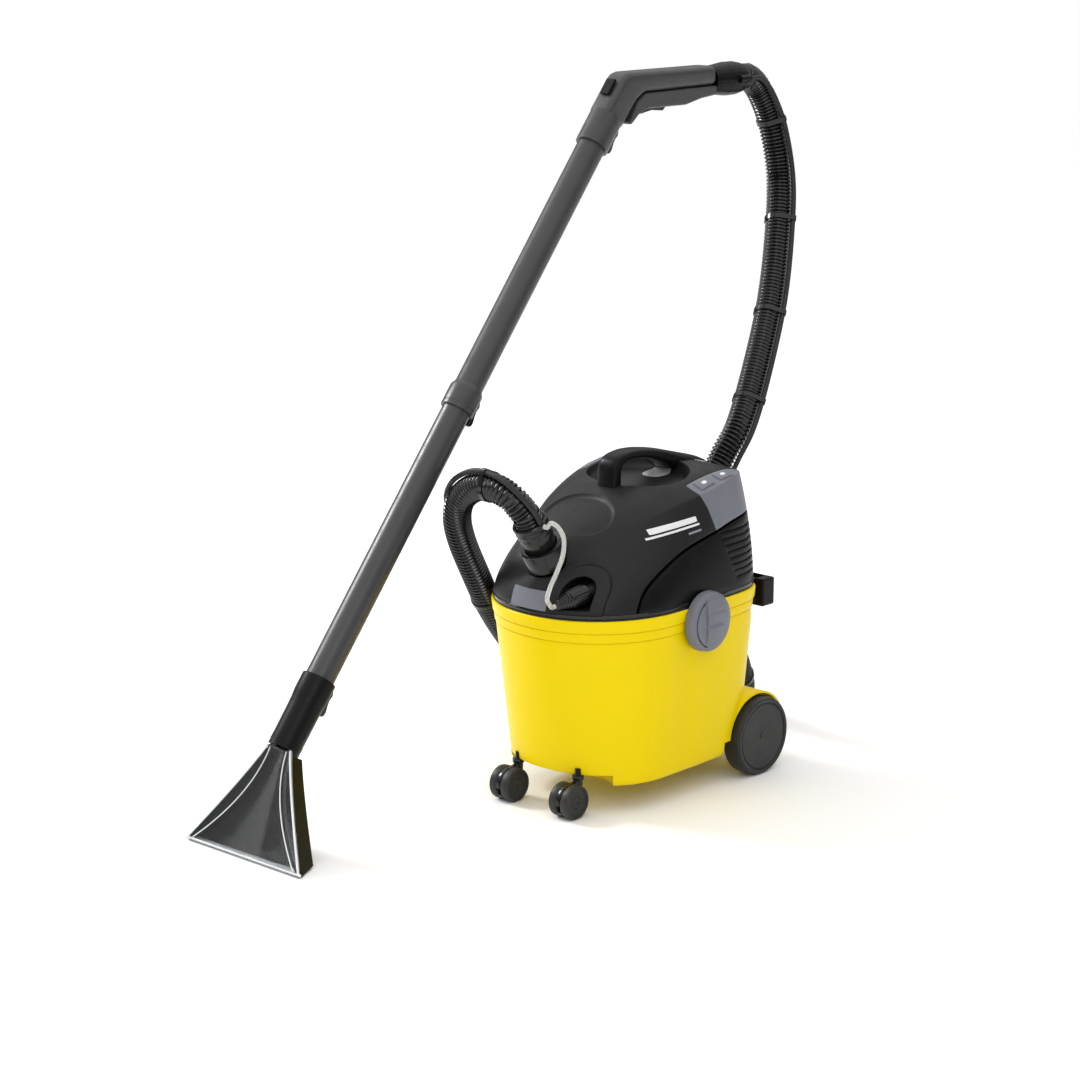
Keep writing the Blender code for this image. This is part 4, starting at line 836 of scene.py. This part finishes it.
def build_handle():
    """The carrying handle: a rounded bar over the hand recess that widens into the rear of the head."""
    stations = [((-0.0410, 0.380), (-0.0230, 0.380), 0.0165), ((-0.0405, 0.415), (-0.0230, 0.408), 0.0165),
                ((-0.0380, 0.4360), (-0.0215, 0.4290), 0.0160),
                ((-0.0290, 0.4470), (-0.0140, 0.4375), 0.0155),
                ((-0.0100, 0.4515), (-0.0020, 0.4400), 0.0150), ((0.0100, 0.4520), (0.0140, 0.4391), 0.0150),
                ((0.0340, 0.4495), (0.0360, 0.4348), 0.0158), ((0.0600, 0.4447), (0.0560, 0.4270), 0.0185),
                ((0.0840, 0.4385), (0.0740, 0.4165), 0.0235), ((0.1040, 0.4330), (0.0960, 0.4080), 0.0300),
                ((0.1190, 0.4290), (0.1160, 0.4040), 0.0345), ((0.1275, 0.4250), (0.1275, 0.4030), 0.0360)]
    dense = spline([(top[0], top[1], width) for top, _, width in stations], 8)
    under = spline([(low[0], low[1], 0) for _, low, _ in stations], 8)
    rings = []
    for high, low in zip(dense, under):
        top, bottom = Vector((0, high.x, high.y)), Vector((0, low.x, low.y))
        middle, half = (top + bottom) / 2, (top - bottom) / 2
        rings.append([middle + Vector((high.z, 0, 0)) * power(cos(a), 0.55) + half * power(sin(a), 0.55)
                      for a in (2 * pi * k / 40 for k in range(40))])
    bar = loft("carry_handle_bar", rings)
    cut(bar, [inner_form("seat", -0.0004, 0.0)])
    finish_piece(bar, BLACK, "head", ["carry_handle"], 34.0)


def surface_patch(name, corner, u_vec, v_vec, half_u, half_v, place, rows=10, round_power=1.0):
    """A thin rounded patch laid on a surface: place(u, v, out) gives its points."""
    bm = bmesh.new()
    steps = 48
    loops = []
    for out in (0.0, PATCH_THICKNESS):
        for share in [k / rows for k in range(rows, 0, -1)] if out else (1.0,):
            loop = []
            for k in range(steps):
                angle = 2 * pi * k / steps
                u = half_u * share * power(cos(angle), round_power)
                v = half_v * share * power(sin(angle), round_power)
                loop.append(bm.verts.new(place(corner[0] + u * u_vec[0] + v * v_vec[0],
                                               corner[1] + u * u_vec[1] + v * v_vec[1], out)))
            loops.append(loop)
    for low, high in zip(loops, loops[1:]):
        for k in range(steps):
            j = (k + 1) % steps
            bm.faces.new((low[k], low[j], high[j], high[k]))
    bm.faces.new(loops[-1])
    return link(name, bm)


def on_top(x, y, out):
    return Vector((x, y, head_height(x, y) + 0.0002 + out))


def on_side(y, z, out):
    return side_point(y, z, 1, 0.0002 + out)


def build_marks():
    """Plain marks in place of printed ones: two bars on the side, a silver oval and a ring on each button."""
    slope = Vector((0.0843, 0.0097)).normalized()
    across = Vector((-slope.y, slope.x))
    for name, y, z, half_u, half_v, material in (("side_bar_long", -0.030, 0.3640, 0.042, 0.0013, PALE_PRINT),
                                                 ("side_bar_wide", -0.028, 0.3712, 0.037, 0.0034, PALE_PRINT),
                                                 ("side_bar_small", 0.002, 0.3598, 0.011, 0.0013,
                                                  GREY_PRINT)):
        bar = surface_patch(name, (y, z), slope, across, half_u, half_v, on_side, 3, 0.12)
        finish_piece(bar, material, "head")
    oval = surface_patch("silver_oval", (0.002, 0.062), (0.0, 1.0), (1.0, 0.0), 0.0190, 0.0170, on_top, 8,
                         0.8)
    finish_piece(oval, SILVER, "head")
    for name, y in BUTTONS:
        top = 0.0016
        mark = surface_patch(name + "_mark", (0.098, y), (1.0, 0.0), (0.0, 1.0), 0.0026, 0.0042,
                             lambda x, v, out: on_top(x, v, out + top), 3, 0.8)
        finish_piece(mark, PALE_PRINT, name)


def build_inlet():
    profile = [(0.0225, 0.0038), (0.0262, 0.0040), (0.0282, 0.0032), (0.0290, 0.0014), (0.0290, -0.0240),
               (0.0218, -0.0240), (0.0218, 0.0028)]
    socket = lathe("inlet_ring", profile, INLET_POINT, INLET_AXIS, 96)
    finish_piece(socket, GLOSS_BLACK, "head", ["inlet_socket"], 30.0)
    end = CUFF_END
    profile = [(HOSE_RADIUS + 0.0006, end), (0.0225, end - 0.0004), (0.0236, end - 0.0020),
               (0.0236, end - 0.0060),
               (0.0224, end - 0.0074), (0.0224, end - 0.0100), (0.0232, end - 0.0112), (0.0232, end - 0.0128),
               (0.0218, end - 0.0144), (0.0215, 0.0260), (0.0222, 0.0240), (0.0222, 0.0150), (0.0215, 0.0130),
               (0.0215, -0.020), (0.0175, -0.020), (0.0175, end - 0.004)]
    cuff = lathe("hose_cuff_sleeve", profile, INLET_POINT, INLET_AXIS, 96)
    side = Vector((1.0, -0.3, 0.3))
    side = (side - INLET_AXIS * side.dot(INLET_AXIS)).normalized()
    clip_at = INLET_POINT + INLET_AXIS * (end - 0.003) + side * 0.0235
    clip = rod("line_clip", 0.0050, clip_at - INLET_AXIS * 0.0028, clip_at + INLET_AXIS * 0.0028, 32)
    cut(cuff, [clip], "UNION")
    soften(cuff, 0.0004, 2, 44.0)
    finish_piece(cuff, GLOSS_BLACK, "head", ["hose_cuff"], 34.0)


def build_front_plate():
    plate = head_form("front_plate_cover", -0.0016)
    cut(plate, [head_form("plate_seat", -GAP)])
    cut(plate, [soften(block("plate_form", (-0.030, -0.25, 0.2750), (0.030, -0.10, 0.2990)), 0.002, 3)],
        "INTERSECT")
    finish_piece(plate, BLUE_GREY, "head", ["front_plate"], 34.0)


def build_socket():
    """An arched pocket with a broad raised lip, and the pump's outlet inside it."""
    socket = recess_form("socket_body", LIP_WIDTH, -0.190, -0.1270)
    cut(socket, [head_form("lip_form", -0.0020)], "INTERSECT")
    cut(socket, [recess_form("pocket", -0.0068, -0.220, -0.1300),
                 block("socket_base_cut", (0.0, -0.25, 0.25), (0.2, -0.05, 0.2742))])
    soften(socket, 0.0012, 3, 50.0)
    outlet = rod("outlet", 0.0095, COLLAR_POINT - COLLAR_AXIS * 0.0235, COLLAR_POINT + COLLAR_AXIS * 0.0240)
    cut(socket, [outlet], "UNION")
    bore = rod("outlet_bore", 0.0030, COLLAR_POINT - COLLAR_AXIS * 0.010, COLLAR_POINT + COLLAR_AXIS * 0.060)
    cut(socket, [bore])
    finish_piece(socket, DARK_GREY, "head", ["spray_socket"], 36.0)


def build_coupling():
    """The spray coupling's collar: a ribbed cone with finger flutes."""
    def flutes(radius, height, angle):
        if 0.0020 < height < 0.0210 and radius > 0.0115:
            return radius - 0.0007 * (0.5 + 0.5 * cos(18 * angle))
        return radius

    profile = [(0.0046, 0.0450), (0.0058, 0.0441), (0.0062, 0.0419), (0.0070, 0.0408), (0.0070, 0.0388),
               (0.0080, 0.0379), (0.0080, 0.0357), (0.0092, 0.0346), (0.0092, 0.0326), (0.0105, 0.0314),
               (0.0105, 0.0292), (0.0120, 0.0280), (0.0120, 0.0256), (0.0133, 0.0240), (0.0135, 0.0220),
               (0.0135, 0.0170), (0.0135, 0.0110), (0.0135, 0.0040), (0.0127, 0.0004), (0.0100, 0.0),
               (0.0100, 0.0280), (0.0034, 0.0310), (0.0034, 0.0450)]
    collar = lathe("coupling_sleeve", profile, COLLAR_POINT, COLLAR_AXIS, 108, flutes)
    finish_piece(collar, GLOSS_BLACK, "coupling_collar", ["coupling_collar"], 30.0)


# ---------------------------------------------------------------- wand

WAND_AXIS = Vector((0, sin(WAND_LEAN), cos(WAND_LEAN)))
WAND_BACK = Vector((0, cos(WAND_LEAN), -sin(WAND_LEAN)))
WAND_FOOT = Vector((WAND_X, WAND_FOOT_Y, 0))


def wand_point(reach, behind=0.0):
    return WAND_FOOT + WAND_AXIS * reach + WAND_BACK * behind


def build_tubes():
    tube_profile = [(TUBE_RADIUS, 0.6838), (0.0187, 0.6840), (TUBE_BORE, 0.6840), (TUBE_BORE, 0.2080),
                    (TUBE_RADIUS, 0.2080)]
    lower = lathe("lower_tube_pipe", tube_profile, WAND_FOOT, WAND_AXIS, 72)
    finish_piece(lower, TUBE_GREY, "wand", ["lower_tube"], 30.0)
    profile = [(TUBE_RADIUS, 1.0978), (0.0187, 1.0980), (TUBE_BORE, 1.0980), (TUBE_BORE, 0.6845),
               (SOCKET_BORE, 0.6845),
               (SOCKET_BORE, 0.6570), (0.0221, 0.6570), (0.0228, 0.6578), (0.0228, 0.6612), (0.0223, 0.6620),
               (0.0223, 0.6632), (0.0228, 0.6640), (0.0228, 0.6860), (0.0222, 0.6885), (0.0203, 0.6915),
               (TUBE_RADIUS, 0.6950)]
    upper = lathe("upper_tube_pipe", profile, WAND_FOOT, WAND_AXIS, 72)
    finish_piece(upper, TUBE_GREY, "wand", ["upper_tube"], 30.0)
    profile = [(SOCKET_BORE, 0.2610), (0.0222, 0.2610), (0.0228, 0.2602), (0.0228, 0.2380), (0.0224, 0.2330),
               (0.0218, 0.2250), (0.0215, 0.2150), (0.0213, 0.1900), (0.0212, 0.1730), (0.0217, 0.1725),
               (0.0217, 0.1712), (0.0212, 0.1706), (0.0212, 0.1695), (0.0217, 0.1689), (0.0217, 0.1676),
               (0.0212, 0.1670), (0.0212, 0.1650), (0.0178, 0.1650), (0.0178, 0.2077), (SOCKET_BORE, 0.2077)]
    neck = lathe("nozzle_neck_sleeve", profile, WAND_FOOT, WAND_AXIS, 72)
    finish_piece(neck, BLACK, "wand", ["nozzle_neck"], 30.0)


def build_lock(name, low, high):
    """A rocking catch behind a collar: a curved pad with a finger ridge."""
    def point(reach, behind, x):
        return wand_point(reach, behind) + Vector((x, 0, 0))

    outline = [(low, 0.0236), (high, 0.0236), (high, 0.0262), (high - 0.006, 0.0290), (high - 0.012, 0.0276),
               (high - 0.018, 0.0282), (low + 0.008, 0.0310), (low + 0.003, 0.0306), (low, 0.0280)]
    bm = bmesh.new()
    rows = [[bm.verts.new(point(reach, behind, x)) for reach, behind in outline] for x in (-0.0070, 0.0070)]
    for i in range(len(outline)):
        j = (i + 1) % len(outline)
        bm.faces.new((rows[0][i], rows[0][j], rows[1][j], rows[1][i]))
    bm.faces.new(rows[0][::-1])
    bm.faces.new(rows[1])
    catch = link(name + "_catch", bm)
    soften(catch, 0.0012, 3, 20.0)
    finish_piece(catch, GLOSS_BLACK, name, [name], 34.0)


def nozzle_matrix():
    return Matrix.Translation(Vector((WAND_X, LIP_Y, 0))) @ Matrix.Rotation(-NOZZLE_LEAN, 4, "X")


def nozzle_side(lip, neck, low_z, high_z, bend=1.12, steps=24):
    side = []
    for k in range(steps + 1):
        z = low_z + (high_z - low_z) * k / steps
        share = max(0.0, 1 - z / NOZZLE_HEIGHT)
        side.append((neck + (lip - neck) * share ** bend, z))
    return side


def nozzle_plate(name, side, low_y, high_y):
    """A flat piece of the nozzle between two depths, from the outline of one side."""
    outline = side + [(-x, z) for x, z in reversed(side)]
    bm = bmesh.new()
    rows = [[bm.verts.new((x, depth, z)) for x, z in outline] for depth in (low_y, high_y)]
    for i in range(len(outline)):
        j = (i + 1) % len(outline)
        bm.faces.new((rows[0][i], rows[0][j], rows[1][j], rows[1][i]))
    bm.faces.new(rows[0][::-1])
    bm.faces.new(rows[1])
    bmesh.ops.transform(bm, matrix=nozzle_matrix(), verts=bm.verts)
    return link(name, bm)


def nozzle_bead(name, points, radius, steps=10):
    place = nozzle_matrix()
    return tube(name, [place @ Vector(point) for point in points], radius, steps)


def build_nozzle():
    cover = nozzle_plate("nozzle_clear_cover", nozzle_side(0.106, 0.021, 0.0015, NOZZLE_HEIGHT), -0.0040, 0.0)
    soften(cover, 0.0008, 2, 50.0)
    finish_piece(cover, CLEAR, "wand", ["nozzle_cover"], 34.0)
    # The edge, channel and lip beads are real ridges of the clear cover; their pale opaque colour is a
    # painted highlight for the light the clear edges catch
    edge = nozzle_side(0.1045, 0.0195, 0.0030, NOZZLE_HEIGHT - 0.002)
    channel = nozzle_side(0.0985, 0.0148, 0.0050, NOZZLE_HEIGHT - 0.004, 1.9)
    for label, side in (("left", -1), ("right", 1)):
        bead = nozzle_bead(f"cover_edge_{label}", [(side * x, -0.0030, z) for x, z in edge], 0.0014)
        finish_piece(bead, CLEAR_EDGE_PAINTED_HIGHLIGHT, "wand")
        bead = nozzle_bead(f"channel_edge_{label}", [(side * x, -0.0034, z) for x, z in channel], 0.0010)
        finish_piece(bead, CLEAR_EDGE_PAINTED_HIGHLIGHT, "wand")
    lip = nozzle_bead("cover_lip", [(-0.1050 + 0.0105 * k, -0.0022, 0.0034) for k in range(21)], 0.0020, 12)
    finish_piece(lip, CLEAR_EDGE_PAINTED_HIGHLIGHT, "wand")


def build_grip():
    """The bent grip with rounded flanks, made from the two parts' outlines."""
    outline = [wand_point(1.112, -0.0205)[1:], (0.1385, 0.9190), (0.1450, 0.9240), (0.1540, 0.9262),
               (0.3200, 0.9262),
               (GRIP_END_Y, 0.9255), (GRIP_END_Y, 0.8995), (0.1830, 0.8975), (0.1660, 0.8870),
               wand_point(1.112, 0.0205)[1:]]
    body = prism("grip_main", outline, WAND_X - 0.018, WAND_X + 0.018, "side")
    soften(body, 0.0085, 6, 30.0)
    collar = rod("collar", 0.0228, wand_point(1.072), wand_point(1.120), 72)
    cut(body, [collar], "UNION")
    cut(body, [rod("socket", SOCKET_BORE, wand_point(1.06), wand_point(1.0983), 48),
               rod("bore", 0.0110, (WAND_X, 0.1480, 0.9125), (WAND_X, 0.36, 0.9125), 40)])
    finish_piece(body, TUBE_GREY, "wand", ["grip_body"], 34.0)


# ---------------------------------------------------------------- hoses

HOSE_ROUTE = [(-0.0140, -0.2040, 0.4190),
              (-0.0400, -0.2080, 0.4290), (-0.0740, -0.2050, 0.4240), (-0.1050, -0.2000, 0.4040),
              (-0.1240, -0.1890, 0.3740), (-0.1350, -0.1690, 0.3370), (-0.1430, -0.1350, 0.2840),
              (-0.1540, -0.0950, 0.2300), (-0.1680, -0.0400, 0.1720), (-0.1790, 0.0200, 0.1180),
              (-0.1860, 0.0800, 0.0720), (-0.1870, 0.1440, 0.0380), (-0.1790, 0.2060, 0.0220),
              (-0.1600, 0.2640, 0.0203), (-0.1270, 0.3100, 0.0203), (-0.0850, 0.3320, 0.0240),
              (-0.0500, 0.3180, 0.0450), (-0.0280, 0.2820, 0.0880), (-0.0200, 0.2460, 0.1480),
              (-0.0210, 0.2200, 0.2200), (-0.0270, 0.2080, 0.2950), (-0.0290, 0.2120, 0.3600),
              (-0.0200, 0.2300, 0.4050), (-0.0160, 0.2580, 0.4420),
              (-0.0360, 0.3140, 0.5000), (-0.0700, 0.3920, 0.5900), (-0.1000, 0.4460, 0.6750),
              (-0.1250, 0.4810, 0.7560), (-0.1380, 0.4780, 0.8320), (-0.1420, 0.4530, 0.8830),
              (-0.1420, 0.4270, 0.9036)]
LINE_SIDES = [(0.02, (1.0, -0.3, 0.3)), (0.07, (0.3, -0.3, 1.0)), (0.20, (-1.0, -0.3, 0.3)),
              (0.40, (-1.0, 0.2, 0.2)),
              (0.50, (-0.4, 1.0, 0.3)), (0.57, (0.5, 1.0, 0.3)), (0.64, (1.0, 0.5, 0.2)),
              (0.97, (1.0, 0.0, 0.0))]
CLEAR_ROUTE = [(0.0400, -0.1880, 0.3920), (0.0520, -0.1870, 0.3870), (0.0620, -0.1890, 0.3750),
               (0.0670, -0.1960, 0.3570), (0.0650, -0.2050, 0.3360), (0.0590, -0.2110, 0.3160),
               (0.0530, -0.2100, 0.3000), (0.0490, -0.2010, 0.2900)]
RIB_PITCH = 0.0056


def hose_line():
    start = INLET_POINT + INLET_AXIS * (CUFF_END + GAP)
    end = Vector((WAND_X, SWIVEL_END_Y + GAP, GRIP_AXIS_Z))
    return [start] + spline([start + INLET_AXIS * 0.012] + HOSE_ROUTE + [end + Vector((0, 0.012, 0))],
                            16) + [end]


def straight_between(table, value):
    if value <= table[0][0]:
        return table[0][1]
    for (low, at_low), (high, at_high) in zip(table, table[1:]):
        if value <= high:
            return at_low + (at_high - at_low) * (value - low) / (high - low)
    return table[-1][1]


def line_side(points, k):
    share = k / (len(points) - 1)
    hint = Vector([straight_between([(at, side[i]) for at, side in LINE_SIDES], share) for i in range(3)])
    tangent = (points[min(k + 1, len(points) - 1)] - points[max(k - 1, 0)]).normalized()
    return (hint - tangent * hint.dot(tangent)).normalized(), tangent


def build_hoses():
    line = hose_line()
    length = length_of(line)
    ribs = round(length / RIB_PITCH)
    centres = even(line, ribs * 6 + 1)
    wave = (0.0190, 0.0186, 0.0170, 0.0162, 0.0170, 0.0186)
    radii = [wave[k % 6] for k in range(len(centres))]
    hose = loft("ribbed_hose", tube_rings(centres, radii, 26))
    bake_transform(hose)
    dress(hose, HOSE, 60.0)
    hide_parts("suction_hose")

    coarse = even(line, 240)
    beside = [point + line_side(coarse, k)[0] * LINE_OFFSET for k, point in enumerate(coarse)]
    thin = tube("spray_line_pipe", beside, LINE_RADIUS, 14)
    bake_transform(thin)
    dress(thin, RUBBER, 50.0)
    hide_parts("spray_line")
    clips = build_clips(coarse)

    side = Vector((1.0, -0.3, 0.3))
    side = (side - INLET_AXIS * side.dot(INLET_AXIS)).normalized()
    start = INLET_POINT + INLET_AXIS * (CUFF_END - 0.003) + side * (FLANGE_RADIUS + GAP)
    end = COLLAR_POINT + COLLAR_AXIS * (0.045 + GAP)
    route = [start] + spline([start + side * 0.006] + CLEAR_ROUTE + [end + COLLAR_AXIS * 0.0057], 10) + [end]
    clear = tube("clear_spray_tube", route, 0.0030, 20)
    finish_piece(clear, CLEAR_TUBE, "head", ["spray_tube"], 50.0)


def dress(obj, material, angle):
    obj.data.materials.clear()
    obj.data.materials.append(material)
    obj.data.shade_smooth()
    obj.data.set_sharp_from_angle(angle=radians(angle))


def build_clips(points):
    """Bands that hold the spray line to the hose."""
    clips = []
    for number, k in enumerate((9, 40, 78, 118, 150, 172, 190, 208, 226)):
        side, tangent = line_side(points, k)
        up = tangent.cross(side)
        outline = []
        for step in range(40):
            angle = 2 * pi * step / 40
            big = side * (cos(angle) * 0.0204) + up * (sin(angle) * 0.0204)
            bulge = max(0.0, cos(angle)) ** 14 * 0.0082
            outline.append(points[k] + big + side * bulge)
        rings = []
        for offset, grow in ((-0.0035, -0.0024), (-0.0035, 0.0), (0.0035, 0.0), (0.0035, -0.0024)):
            centre = points[k] + tangent * offset
            rings.append([p + tangent * offset + (p - points[k]).normalized() * grow for p in outline])
        clip = loft(f"line_clip_{number}", rings, wrap=True)
        dress(clip, GLOSS_BLACK, 40.0)
        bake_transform(clip)
        clips.append(clip)
    return clips


# ---------------------------------------------------------------- carried-over parts, floor and light

KEPT = {
    "waste_tank": BLUE_GREY, "rim_seal": RUBBER, "rear_axle": STEEL, "latch_pin_left": STEEL,
    "latch_pin_right": STEEL,
    "castor_axle_left": STEEL, "castor_axle_right": STEEL, "head_base": BLACK,
    "rear_bracket": BLACK, "cord_gland": RUBBER, "motor_housing": BLUE_GREY,
    "motor_rotor": STEEL, "pump_body": BLACK, "pump_plunger": STEEL, "suction_pipe": CLEAR_TUBE,
    "filter_frame": ORANGE, "pleated_filter": PAPER, "float_cage": BLACK, "float_ball": WHITE,
    "wand_spray_pipe": CLEAR_TUBE, "nozzle_body": BLACK, "spray_jet": RUBBER, "grip_cover": TUBE_GREY,
    "spray_trigger": GLOSS_BLACK, "hose_swivel": BLACK, "air_slider": BLACK,
}


def dress_kept_parts():
    for name, material in KEPT.items():
        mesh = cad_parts[name].data
        mesh.materials.clear()
        mesh.materials.append(material)


def build_stage():
    bm = bmesh.new()
    bmesh.ops.create_grid(bm, x_segments=1, y_segments=1, size=30.0)
    floor = link("floor", bm, shift=False)
    material, _, _, shader = node_material("pale_floor")
    shader.inputs["Base Color"].default_value = (0.90, 0.90, 0.90, 1)
    shader.inputs["Roughness"].default_value = 0.75
    floor.data.materials.append(material)


def area_light(name, location, target, size, power_w):
    data = bpy.data.lights.new(name, "AREA")
    data.energy = power_w
    data.size = size
    light = bpy.data.objects.new(name, data)
    bpy.context.scene.collection.objects.link(light)
    light.location = location
    light.rotation_euler = (Vector(target) - Vector(location)).to_track_quat("-Z", "Y").to_euler()


def build_lights():
    """A soft box overhead that falls off towards the horizon, a key light from the left and a weak fill."""
    world = bpy.data.worlds.new("studio")
    bpy.context.scene.world = world
    world.use_nodes = True
    nodes, links = world.node_tree.nodes, world.node_tree.links
    direction = nodes.new("ShaderNodeTexCoord")
    split = nodes.new("ShaderNodeSeparateXYZ")
    links.new(direction.outputs["Generated"], split.inputs["Vector"])
    fall = nodes.new("ShaderNodeMapRange")
    fall.interpolation_type = "SMOOTHSTEP"
    fall.inputs["From Min"].default_value = 0.05
    fall.inputs["From Max"].default_value = 0.85
    fall.inputs["To Min"].default_value = 0.15
    fall.inputs["To Max"].default_value = 1.45
    links.new(split.outputs["Z"], fall.inputs["Value"])
    links.new(fall.outputs["Result"], nodes["Background"].inputs["Strength"])
    nodes["Background"].inputs["Color"].default_value = (1.0, 1.0, 1.0, 1)
    area_light("key", (-2.8, -0.9, 2.2), (-0.1, -0.1, 0.4), 0.9, 85)
    area_light("fill", (2.2, -2.2, 1.6), (0, 0, 0.25), 1.2, 15)
    bpy.context.scene.view_settings.view_transform = "Standard"


build_hoses()
build_container()
build_rear_wheels()
for label, side in (("left", -1), ("right", 1)):
    build_castor(label, side * CASTOR_X)
    build_latch(label, side)
build_shells()
build_buttons()
build_handle()
build_marks()
build_inlet()
build_front_plate()
build_socket()
build_coupling()
build_tubes()
build_lock("nozzle_lock", 0.222, 0.258)
build_lock("tube_lock", 0.650, 0.686)
build_lock("grip_lock", 1.080, 1.116)
build_nozzle()
build_grip()
dress_kept_parts()
build_stage()
build_lights()
